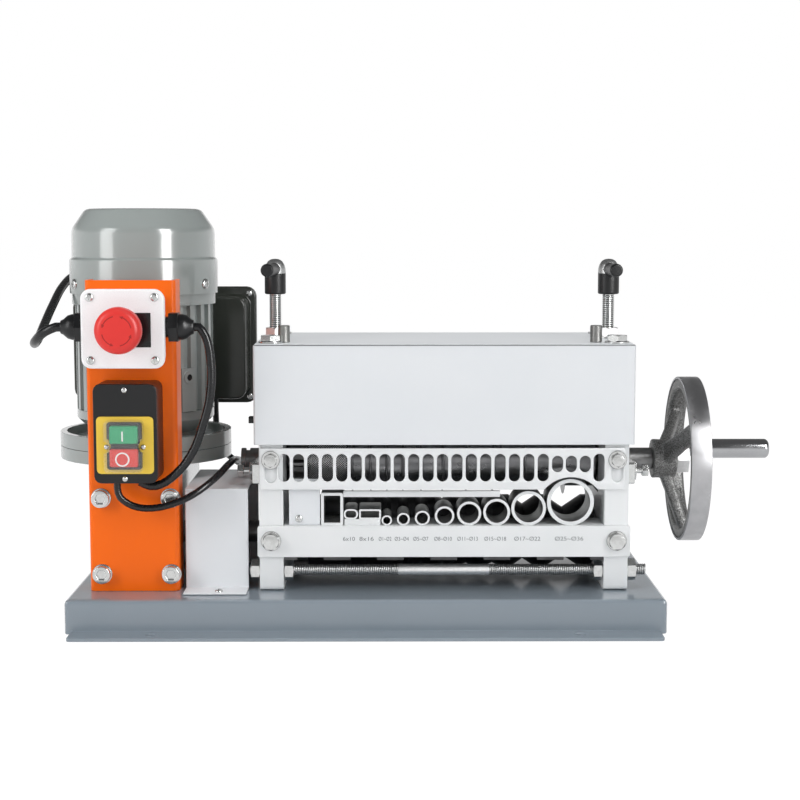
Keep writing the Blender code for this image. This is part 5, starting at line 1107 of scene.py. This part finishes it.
def stop_head():
    """The mushroom head: a flat face, a finely ribbed edge and a ring of turning arrows."""
    radius, tall, ribs = 0.0196, 0.0175, 144
    shape = [(0, 0), (0.0125, 0), (0.0185, 0.0022), (radius, 0.0055), (radius, 0.0100)]
    shape += [(0.0190, 0.0140), (0.0165, 0.0165), (0.0140, tall), (0, tall)]
    head = turned(filleted(shape, 0.003), ribs)
    for corner in head.vertices:
        reach = (corner.co.x**2 + corner.co.y**2) ** 0.5
        turn = round(atan2(corner.co.y, corner.co.x) / (2 * pi / ribs))
        if reach > radius - 0.0004 and turn % 2:
            corner.co.x *= 0.991
            corner.co.y *= 0.991
    place = at(STOP_X, HEAD_BACK, STOP_Z)
    head = placed(head, place, FORWARD)
    piece("mushroom_head", head, RED_CAP, "estop_head", ["estop_head"])
    arrows = []
    for number in range(4):
        start = 12 + 90 * number
        end, tip = start + 52, start + 66
        outer = arc((0, 0), 0.0126, start, end, 12)
        inner = arc((0, 0), 0.0118, end, start, 12)
        barbs = []
        for radius, angle in ((0.0136, end), (0.0122, tip), (0.0108, end)):
            barbs += arc((0, 0), radius, angle, angle, 1)[:1]
        arrows.append(plate(outer + barbs + inner, 0.00012, (), (0, 0, tall - 0.00002)))
    ring = placed(joined(arrows), place, FORWARD)
    piece("head_arrows", ring, DEEP_RED, "estop_head")


SHELF_TOP = 0.0885
TUBE_FRONT, TUBE_LENGTH = 0.0015, 0.0360
TUBE_LOW = SHELF_TOP - 0.0004
RISER = 0.0055
# Each tube's place along X from inside the left end frame, and its outside size
OVAL_TUBE = (0.0593, (0.0126, 0.0092))
FLAT_TUBE = (0.0761, (0.0193, 0.0090))
ROUND_TUBES = (
    (0.0908, 0.0092),
    (0.1054, 0.0113),
    (0.1221, 0.0132),
    (0.1416, 0.0171),
    (0.1632, 0.0213),
    (0.1874, 0.0237),
    (0.2155, 0.0306),
    (0.2522, 0.0413),
)


def tube_rack():
    """The folded shelf and its welded guide tubes, bright at the sawn ends and dull along the sides."""
    left, right = INNER_LEFT + SEAT, INNER_RIGHT - SEAT
    sheet, deep, flap = 0.003, 0.038, 0.0310
    solids = [block(at(left, 0, SHELF_TOP - sheet), at(right, deep, SHELF_TOP), 0.0004, 2)]
    low = SHELF_TOP - flap
    solids.append(block(at(left, 0, low + 0.0045), at(right, sheet, SHELF_TOP - 0.001), 0.0004, 2))
    teeth = 7
    pitch = (right - left) / (teeth - 1)
    for tooth in range(teeth):
        start = max(left, left + pitch * (tooth - 0.25))
        end = min(right, left + pitch * (tooth + 0.25))
        solids.append(block(at(start, 0, low), at(end, sheet, low + 0.006), 0.0003, 2))
    back = TUBE_FRONT + TUBE_LENGTH
    riser_x = INNER_LEFT + (FLAT_TUBE[0] + OVAL_TUBE[0]) / 2 + (FLAT_TUBE[1][0] - OVAL_TUBE[1][0]) / 4
    half = 0.0158
    low, high = at(riser_x - half, 0.0018, TUBE_LOW), at(riser_x + half, 0.0372, SHELF_TOP + RISER)
    solids.append(block(low, high, 0.0003, 2))
    burr = 0.00015
    for x, size in ROUND_TUBES:
        bore = size - 2 * (0.0009 + 0.06 * size)
        outline, inside = circle(size, 64), circle(bore, 64)
        middle = at(INNER_LEFT + x, back, TUBE_LOW + size / 2)
        solids.append(plate(outline, TUBE_LENGTH, [inside], middle, FORWARD, burr))
    shaped = [(0.0428, (0.0196, 0.0292), 0.0020, 0.0026, 0)]
    shaped += [(*OVAL_TUBE, 0.0043, 0.0016, RISER), (*FLAT_TUBE, 0.0012, 0.0016, RISER)]
    for x, (wide, tall), corner, wall, lift in shaped:
        inner = max(corner - wall, 0.0006)
        outline, inside = rounded(wide, tall, corner), rounded(wide - 2 * wall, tall - 2 * wall, inner)
        middle = at(INNER_LEFT + x, back, TUBE_LOW + lift + tall / 2)
        solids.append(plate(outline, TUBE_LENGTH, [inside], middle, FORWARD, burr))
    rack = joined(solids)
    mouth = at(0, TUBE_FRONT + 0.0004, 0).y
    shelf = at(0, 0, SHELF_TOP).z

    def choose(middle, normal):
        sawn = middle.y < mouth and normal.y < -0.5
        # The drop below the shelf and its teeth get painted shade, dark steel.
        if middle.z < shelf - 0.004:
            return 2
        return 0 if sawn or middle.z < shelf + 0.0001 else 1

    rack = toned(rack, (SILVER_ENAMEL, TUBE_STEEL, PAINTED_SHADE_STEEL), choose)
    piece("guide_tubes", rack, None, "root", ["tube_rack"])
    strip = block(at(-0.0203, 0.0018, 0.1134), at(0.1173, 0.0058, 0.1188), 0.0004, 2)
    piece("guide_strip", strip, SILVER_ENAMEL)


def knurled(diameter, width, pitch, depth):
    """A cylinder along Z whose side is a field of small pyramids."""
    samples = 4
    around = round(pi * diameter / pitch) * samples
    along = round(width / pitch) * samples
    bm = bmesh.new()
    rows = []
    for row in range(along + 1):
        ring = []
        for step in range(around):
            first = (step + row) % samples / samples
            second = (step - row) % samples / samples
            ridge = min(abs(first - 0.5), abs(second - 0.5)) * 2
            if row in (0, along):
                ridge = 1
            reach = diameter / 2 - depth * ridge
            angle = 2 * pi * step / around
            ring.append(bm.verts.new((reach * cos(angle), reach * sin(angle), width * row / along)))
        rows.append(ring)
    for low, high in zip(rows, rows[1:]):
        for step in range(around):
            after = (step + 1) % around
            bm.faces.new((low[step], low[after], high[after], high[step]))
    bm.faces.new(rows[0])
    bm.faces.new(rows[-1])
    return as_mesh(bm, 25)


DRUM = (-0.0540, -0.0180)
SHAFT_BORE = 0.0103
KNIVES = ((OVAL_TUBE[0], 0.0092), (FLAT_TUBE[0], 0.0090), *ROUND_TUBES)


def drum_and_blades():
    """The knurled drum that grips small cable, and the ground knives with their spacers."""
    start, end = DRUM
    diameter = 0.048
    core = at(start, SHAFT_Y, UPPER_Z)
    drum = placed(knurled(diameter, end - start, pitch=0.0021, depth=0.0009), core, RIGHTWARD)

    # The knurl's points get a painted highlight in bright steel, its valleys painted shade in dark steel.
    def choose(middle, normal):
        reach = ((middle.y - core.y) ** 2 + (middle.z - core.z) ** 2) ** 0.5
        return 0 if reach > diameter / 2 - 0.0004 else 1

    drum = toned(drum, (KNURL_STEEL, PAINTED_SHADE_STEEL), choose)
    piece("drum_knurl", drum, None, "upper_drive", ["knurled_drum"])
    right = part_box("blade_stack")[1].x - ORIGIN.x
    bore, spacer, edge, slope, flat = SHAFT_BORE + 0.0001, 0.0250, 0.0324, 0.0015, 0.0001
    line = [(bore, end + SEAT), (spacer, end + SEAT)]
    for x, size in KNIVES:
        x += INNER_LEFT
        line += [(spacer, x - slope), (edge, x - flat), (edge, x + flat), (spacer, x + slope)]
    line += [(spacer, right), (bore, right)]
    stack = turned(line, 96, at(0, SHAFT_Y, UPPER_Z), RIGHTWARD, 12)
    piece("knife_stack", stack, BLADE_STEEL, "upper_drive", ["blade_stack"])


def grooved_rollers():
    """The feed roller under the knives, with a V groove for each tube."""
    low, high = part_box("feed_rollers")
    left, right = DRUM[0], high.x - ORIGIN.x
    radius, chamfer = 0.0338, 0.0005
    line = [(SHAFT_BORE, left), (radius - chamfer, left), (radius, left + chamfer)]
    for x, size in KNIVES:
        x += INNER_LEFT
        deep = (0.20 if size < 0.025 else 0.28) * size
        line += [(radius, x - 0.42 * size), (radius - deep, x), (radius, x + 0.42 * size)]
    line += [(radius, right - chamfer), (radius - chamfer, right), (SHAFT_BORE, right)]
    roller = turned(line, 96, at(0, SHAFT_Y, LOWER_Z), RIGHTWARD, 12)
    # The roller's dark steel is painted shade.
    piece("grooved_roller", roller, PAINTED_SHADE_STEEL, "lower_drive", ["feed_rollers"])


def tie_rod(name, y, z, outer):
    """A rod with rolled thread at both ends, a bright shank between, and its chamfered nuts."""
    start, end = (-0.1035, 0.2470) if outer else (OUTER_LEFT, OUTER_RIGHT)
    first, last = (0.0275, 0.1086) if outer else (-0.0400, 0.1760)
    thin, full, chamfer = 0.0042, 0.0049, 0.0006
    core = [(0, 0), (thin, 0), (thin, end - start), (0, end - start)]
    shank = [(0, 0), (full, chamfer), (full, last - first - chamfer), (0, last - first)]
    solids = [turned(core, 32, at(start, y, z), RIGHTWARD), turned(shank, 48, at(first, y, z), RIGHTWARD)]
    wide, pitch = 0.0103, 0.0019
    for low, high in ((start, first), (last, end)):
        solids.append(thread(high - low, wide, pitch, at(low, y, z), RIGHTWARD))
    across, thick, bore = 0.017, 0.008, 0.0085
    nuts = [INNER_LEFT + SEAT, INNER_RIGHT - SEAT - thick]
    if outer:
        nuts += [OUTER_LEFT - SEAT - thick, OUTER_RIGHT + SEAT]
    for x in nuts:
        nut = chamfered_hex(across, thick, bore)
        solids.append(placed(nut, at(x, y, z), RIGHTWARD))
    axis = at(0, y, z)
    bright = at(first, y, z).x, at(last, y, z).x

    def choose(middle, normal):
        reach = ((middle.y - axis.y) ** 2 + (middle.z - axis.z) ** 2) ** 0.5
        if reach > wide / 2 + 0.00015:
            # A nut's chamfer takes the grey steel as painted shade.
            return 1 if 0.15 < abs(normal.x) < 0.97 else 0
        return 2 if bright[0] < middle.x < bright[1] else 1

    rod = toned(joined(solids), (ZINC, DOME_STEEL, KNURL_STEEL), choose)
    piece(name + "_thread", rod, None, "root", [name])


def screw_handles():
    """The black sleeves with a bent lever, capped by a bare metal dome, on top of each adjusting screw."""
    foot, arm_z, dome_z = 0.2885, 0.3110, 0.3084
    dome_reach, dome_slope = 0.0098, 0.34
    for side, x, swing in (("left", BOLT_LEFT, -6), ("right", BOLT_RIGHT, 2)):
        sleeve = [(0.0001, 0), (0.0088, 0), (0.0096, 0.0010), (0.0096, 0.0200)]
        sleeve += [(0.0094, 0.0232), (0.0084, 0.0268), (0.0062, 0.0301), (0.0032, 0.0317), (0, 0.0320)]
        body = turned(filleted(sleeve, 0.0012), 48, at(x, SHAFT_Y, foot), UP, 50)
        arm = filleted([(0, 0), (0.0059, 0), (0.0059, 0.0412), (0.0051, 0.0430), (0, 0.0430)], 0.0010)
        turn = Matrix.Rotation(radians(swing), 4, "Z") @ FORWARD
        lever = turned(arm, 40, at(x, SHAFT_Y, arm_z), turn)
        handle = joined([body, lever])
        middle = at(x, SHAFT_Y, dome_z)

        def choose(place, normal):
            back = place.y - middle.y
            return 1 if back > -dome_reach and place.z - middle.z > dome_slope * back else 0

        handle = toned(handle, (BLACK_ABS, DOME_STEEL), choose)
        piece(side + "_lever", handle, None, side + "_screw", [side + "_screw_handle"])


def guard_plate():
    """The ventilated guard: round-ended slots, three short ones over the arch for the largest tube."""
    arch_x = INNER_LEFT + ROUND_TUBES[-1][0]
    left, right, low, high = -0.0930, 0.2258, 0.1208, 0.1572
    radius, rise = 0.0306, 0.0108
    half = (radius**2 - (radius - rise) ** 2) ** 0.5
    swing = degrees(atan2(half, radius - rise))
    outline = [(left, low), (left, high), (right, high), (right, low)]
    outline += arc((arch_x, low + rise - radius), radius, 90 - swing, 90 + swing, 40)
    size, short, bolt_slot = (0.0098, 0.0245), (0.0098, 0.0147), (0.0104, 0.0282)
    first, pitch, short_pitch, middle = -0.0717, 0.01257, 0.0121, 0.1400
    holes = [obround(size, (first + pitch * number, middle)) for number in range(19)]
    holes += [obround(short, (arch_x + short_pitch * step, 0.1432)) for step in (-1, 0, 1)]
    holes.append(obround(size, (arch_x + 2 * short_pitch, middle)))
    holes += [obround(bolt_slot, (x, 0.1410)) for x in BOLTS]
    guard = plate(outline, 0.003, holes, at(0, -SEAT, 0), FORWARD, 0.0004)
    piece("guard_sheet", guard, SILVER_ENAMEL, "guard", ["slotted_guard"])


def column_sheet():
    """The folded channel of the control column, round at its bends."""
    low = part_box("control_column")[0].z
    left, right, top = -0.2435, -0.1648, 0.3035
    deep, sheet, bend = 0.030, 0.0025, 0.0045
    outline = [(left, deep)] + arc((left + bend, bend), bend, 180, 270, 10)
    outline += arc((right - bend, bend), bend, 270, 360, 10) + [(right, deep), (right - sheet, deep)]
    outline += arc((right - bend, bend), bend - sheet, 0, -90, 10)
    outline += arc((left + bend, bend), bend - sheet, 270, 180, 10) + [(left + sheet, deep)]
    foot = at(0, 0, low)
    sheet_metal = plate(outline, top - low, (), foot)
    piece("column_sheet", sheet_metal, ORANGE_COAT, "root", ["control_column"])


def drafted(mesh, deep, share):
    """Narrows a moulding evenly toward its back, which is its Z 0."""
    for corner in mesh.vertices:
        scale = share + (1 - share) * corner.co.z / deep
        corner.co.x *= scale
        corner.co.y *= scale
    return mesh


def stop_box():
    """The two halves of the emergency stop's box, drafted as they left the mould."""
    deep, proud = 0.0240, 0.0300
    outline = rounded(LID_WIDE, LID_TALL, 0.0085, 10)
    lid = drafted(plate(outline, deep, [circle(0.0212)], (0, 0, 0), UP, 0.0022), deep, 0.925)
    hole, rim, sunk = 0.0095, 0.0145, deep - 0.003
    collar = turned([(hole, sunk), (rim, sunk), (rim, proud), (hole, proud)], 64)
    lid = placed(joined([lid, collar]), at(STOP_X, LID_FACE + deep, STOP_Z), FORWARD)
    piece("stop_lid", lid, WHITE_ABS, "root", ["estop_box_lid"])
    deep = 0.0290
    outline = rounded(0.0626, 0.0596, 0.0075, 10)
    base = drafted(plate(outline, deep, (), (0, 0, 0), UP, 0.0008), deep, 0.91)
    base = placed(base, at(STOP_X, -SEAT, STOP_Z), FORWARD)
    piece("stop_base", base, WHITE_ABS, "root", ["estop_box_base"])
    necks = []
    radius, long = 0.0090, 0.0094
    for name, x in (("left_gland", -0.2376), ("right_gland", -0.1762)):
        low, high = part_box(name)
        middle = (low + high) / 2
        middle.x = ORIGIN.x + x
        necks.append(turned([(0, 0), (radius, 0), (radius, long), (0, long)], 40, middle, RIGHTWARD))
    piece("gland_necks", joined(necks), BLACK_NYLON)


PLATE_FACE = -0.0401
BUTTON_FACE = -0.0491
SWITCH_X, PLATE_Z = -0.2040, 0.1650


def notched(width, height, radius, notch, centre):
    """A round-cornered rectangle with a round-bottomed notch in the middle of each upright side."""
    outline = rounded(width, height, radius)
    quarter = len(outline) // 4
    deep, half = notch
    bite = [(0, -half), (deep * 0.8, -half * 0.8), (deep, 0), (deep * 0.8, half * 0.8), (0, half)]
    bite = filleted(bite, deep)
    left = [(-width / 2 + x, -y) for x, y in bite]
    right = [(width / 2 - x, y) for x, y in bite]
    outline = outline[: 2 * quarter] + left + outline[2 * quarter :] + right
    return [(centre[0] + x, centre[1] + z) for x, z in outline]


def switch_details():
    """The splash boot with its clamping screws, the bezel under it, and the marks on the buttons."""
    centre = (0, PLATE_Z)
    front = PLATE_FACE - SEAT
    seat = at(SWITCH_X, front, 0)
    skin = notched(0.0325, 0.0440, 0.0035, (0.0034, 0.0052), centre)
    room = notched(0.0309, 0.0424, 0.0028, (0.0034, 0.0058), centre)
    hollow = plate(room, 0.0170, (), at(SWITCH_X, front + 0.0050, 0), FORWARD)
    boot = carved(plate(skin, 0.0130, (), seat, FORWARD, 0.0008), hollow)
    piece("splash_boot", boot, CLEAR_SILICONE, "root", ["switch_boot"])
    gaps = [rounded(0.0250, 0.0164, 0.0012, 4, (0, PLATE_Z + side * 0.00985)) for side in (-1, 1)]
    frame_line = notched(0.0296, 0.0404, 0.0024, (0.0036, 0.0060), centre)
    bezel = plate(frame_line, 0.0040, gaps, seat, FORWARD, 0.0003)
    piece("switch_bezel", bezel, BLACK_ABS)
    sides = (SWITCH_X - 0.0156, SWITCH_X + 0.0156)
    fitted("boot_screws", cross_screw(head=0.0044, tall=0.0014), spots(sides, [front], [0.1637], FORWARD))
    ink = 0.00015
    place = at(SWITCH_X - 0.0008, BUTTON_FACE, 0.1738)
    bar = plate(rounded(0.0014, 0.0084, 0.0003, 3), ink, (), place, FORWARD)
    piece("on_mark", bar, WHITE_PRINT, "start_button")
    place = at(SWITCH_X - 0.0010, BUTTON_FACE, 0.1542)
    loop = plate(circle(0.0122), ink, [circle(0.0096)], place, FORWARD)
    piece("off_mark", loop, WHITE_PRINT, "stop_button")


def label_plate():
    """The bare black plate, let a little way into the face of the stop box's lid."""
    place = at(-0.1867, LID_FACE + 0.0004, STOP_Z - 0.0009)
    label = plate(rounded(0.0163, 0.0288, 0.0004, 2), 0.0007, (), place, FORWARD)
    piece("stop_label", label, BLACK_NYLON)


def cover_seam():
    """A thin grey strip along the top front edge of the cover, above its front flap: painted shade at the
    edge.
    """
    low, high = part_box("top_cover")
    sheet = 0.0008
    place = Vector(((low.x + high.x) / 2, low.y - 0.0001, high.z - sheet))
    seam = plate(rounded(high.x - low.x - 2 * sheet, sheet, 0.0003, 3), 0.0003, (), place, FORWARD)
    piece("cover_seam", seam, CHAMFER_SHADE_ZINC)


def figures():
    """The sizes of cable that each tube takes, in grey on the bar under them."""
    marks = [("6x10", 0.0591, 0.0105), ("8x16", 0.0746, 0.0125)]
    ink = 0.00003
    names = ("Ø1~Ø2", "Ø3~Ø4", "Ø5~Ø7", "Ø8~Ø10", "Ø11~Ø13", "Ø15~Ø18", "Ø17~Ø22", "Ø25~Ø36")
    for name, (x, size) in zip(names, ROUND_TUBES):
        marks.append((name, x, min(0.0112 + 0.55 * (size - 0.0092), 0.0250)))
    meshes = []
    for words, x, width in marks:
        text = bpy.data.curves.new("figures", "FONT")
        text.body = words
        text.size = 0.0050
        text.align_x = "CENTER"
        text.extrude = ink
        sample = bpy.data.objects.new("figures", text)
        flat = bpy.data.meshes.new_from_object(sample)
        bpy.data.objects.remove(sample)
        spread = max(corner.co.x for corner in flat.vertices) * 2
        narrow = Matrix.Diagonal((width / spread, 1, 1, 1))
        flat.transform(FORWARD @ narrow)
        meshes.append(placed(flat, at(INNER_LEFT + x - 0.0015, BAR_FACE - ink, 0.0756)))
    words = joined(meshes)
    piece("size_figures", words, GREY_PRINT)


def bought_in():
    """Small screws and stops that hold the covers and boxes."""
    cowl = [round_cowl(angle, 0.2972) for angle in (92, 212, 332)]
    fitted("cowl_screws", cross_screw(head=0.0094, tall=0.0024), cowl)
    box = spots((-0.2939, -0.1229), [0.2520], (0.1763, 0.2817), FORWARD)
    fitted("box_screws", cross_screw(head=0.0064, tall=0.0018), box)
    fitted("guard_screw", cross_screw(head=0.0068, tall=0.0020), [((-0.0593, TUBE_FRONT, 0.0945), FORWARD)])
    fitted("hood_screw", cross_screw(head=0.0070, tall=0.0020), [((-0.1292, -0.0095, 0.0318), UP)])
    pad = [round_cowl(-45, 0.2120, 0.0660)]
    hole, rim = 0.0030, 0.0060
    eyelet = turned(filleted([(hole, 0), (rim, 0), (rim, 0.0012), (hole, 0.0012)], SEAT), 40)
    fitted("foot_eyelet", eyelet, pad, MOTOR_ENAMEL)
    # A thin black disc in the eyelet: painted shade of the hole.
    floor = turned([(0, 0), (0.0031, 0), (0.0031, SEAT), (0, SEAT)], 32)
    fitted("foot_hole", floor, pad, BLACK_NYLON)
    nuts = spots((-0.0724, 0.2020), [0.018], [COVER_TOP], UP)
    knob = knurled(diameter=0.0105, width=0.0150, pitch=0.0018, depth=0.0008)
    fitted("thumb_nuts", knob, nuts, THREAD_STEEL)
    stop = block(at(-0.1050, 0.026, 0.1757), at(-0.0981, 0.034, 0.1815), 0.0006)
    piece("cover_stop", stop, BLACK_NYLON)


# The coupling takes the dark steel of painted shade.
NODES["shaft_coupling"].material_slots[0].material = PAINTED_SHADE_STEEL
NODES["wheel_nut"].material_slots[0].material = KNURL_STEEL
fan_cover()
handwheel()
crank_grip()
stop_head()
tube_rack()
drum_and_blades()
grooved_rollers()
guard_plate()
column_sheet()
stop_box()
tie_rod("front_tie_rod", FRONT_ROW, 0.0467, True)
tie_rod("rear_tie_rod", REAR_ROW, 0.0467, True)
tie_rod("upper_tie_rod", REAR_ROW, 0.225, False)
screw_handles()
switch_details()
label_plate()
cover_seam()
figures()
bought_in()

# Stage


def floor():
    """A pale level floor that keeps the machine's shadow."""
    made = bpy.data.materials.new("pale_floor")
    made.use_nodes = True
    tree = made.node_tree
    tree.nodes.clear()
    rays = add(tree, "ShaderNodeLightPath")
    mirrored = add(tree, "ShaderNodeMath", {0: rays.outputs["Is Glossy Ray"], 1: 0.55}, operation="MULTIPLY")
    seen = add(tree, "ShaderNodeMath", {0: rays.outputs["Is Camera Ray"], 1: mirrored}, operation="MAXIMUM")
    seen = add(tree, "ShaderNodeMath", {0: seen, 1: rays.outputs["Is Transmission Ray"]}, operation="MAXIMUM")
    share = add(tree, "ShaderNodeMath", {0: seen, 1: 0.80}, operation="MULTIPLY")
    matt = add(tree, "ShaderNodeBsdfDiffuse", {"Color": linear("#F4F4F5")})
    white = add(tree, "ShaderNodeEmission", {"Color": (1, 1, 1, 1), "Strength": 1.14})
    mixed = add(tree, "ShaderNodeMixShader", {0: share, 1: matt, 2: white})
    add(tree, "ShaderNodeOutputMaterial", {0: mixed})
    mesh = bpy.data.meshes.new("floor")
    half = 30
    corners = [(-half, -half, 0), (half, -half, 0), (half, half, 0), (-half, half, 0)]
    mesh.from_pydata(corners, [], [(0, 1, 2, 3)])
    mesh.materials.append(made)
    ground = bpy.data.objects.new("floor", mesh)
    STAGE.collection.objects.link(ground)


def world():
    """White all round for the eye; as a mirror image it is dim on the camera's side and dark overhead."""
    made = bpy.data.worlds.new("studio")
    made.use_nodes = True
    STAGE.world = made
    tree = made.node_tree
    tree.nodes.clear()
    rays = add(tree, "ShaderNodeLightPath")
    direct = {0: rays.outputs["Is Camera Ray"], 1: rays.outputs["Is Transmission Ray"]}
    seen = add(tree, "ShaderNodeMath", direct, operation="MAXIMUM")
    way = add(tree, "ShaderNodeTexCoord")
    parts = add(tree, "ShaderNodeSeparateXYZ", {0: way.outputs["Generated"]})
    shade = add(tree, "ShaderNodeMapRange", {0: parts.outputs["Y"], 1: -0.5, 2: 0.5, 3: 0.80, 4: 1.0})
    dusk = add(tree, "ShaderNodeMapRange", {0: parts.outputs["Z"], 1: 0.10, 2: 0.30, 3: 1.0, 4: 0.16})
    shade = add(tree, "ShaderNodeMath", {0: shade, 1: dusk}, operation="MULTIPLY")
    mirror = add(tree, "ShaderNodeBackground", {"Color": (1, 1, 1, 1), "Strength": shade})
    soft = add(tree, "ShaderNodeBackground", {"Color": (1, 1, 1, 1), "Strength": 0.48})
    white = add(tree, "ShaderNodeBackground", {"Color": (1, 1, 1, 1), "Strength": 1.0})
    lit = add(tree, "ShaderNodeMixShader", {0: rays.outputs["Is Glossy Ray"], 1: soft, 2: mirror})
    whole = add(tree, "ShaderNodeMixShader", {0: seen, 1: lit, 2: white})
    add(tree, "ShaderNodeOutputWorld", {0: whole})


def softbox(name, turn, lift, distance, wide, tall, power, mirrored=False):
    """A rectangular lamp on a circle round the machine, aimed at its middle; or only its mirror image."""
    data = bpy.data.lights.new(name, "AREA")
    data.shape = "RECTANGLE"
    data.size, data.size_y = wide, tall
    data.energy = power
    lamp = bpy.data.objects.new(name, data)
    a, e = radians(turn), radians(lift)
    back = Vector((sin(a) * cos(e), -cos(a) * cos(e), sin(e)))
    lamp.location = Vector((0, 0, 0.18)) + back * distance
    lamp.rotation_euler = (-back).to_track_quat("-Z", "Y").to_euler()
    lamp.visible_glossy = mirrored
    lamp.visible_diffuse = not mirrored
    STAGE.collection.objects.link(lamp)


floor()
world()
softbox("right_softbox", 40, 22, 2.2, 0.36, 1.6, 11)
softbox("left_softbox", -56, 20, 2.2, 0.5, 1.4, 15)
softbox("top_softbox", 10, 78, 2.0, 1.6, 1.2, 12)
softbox("right_window", 40, 22, 2.1, 0.62, 1.5, 46, True)
softbox("left_window", -56, 20, 2.1, 0.76, 1.3, 14, True)
STAGE.view_settings.view_transform = "Standard"
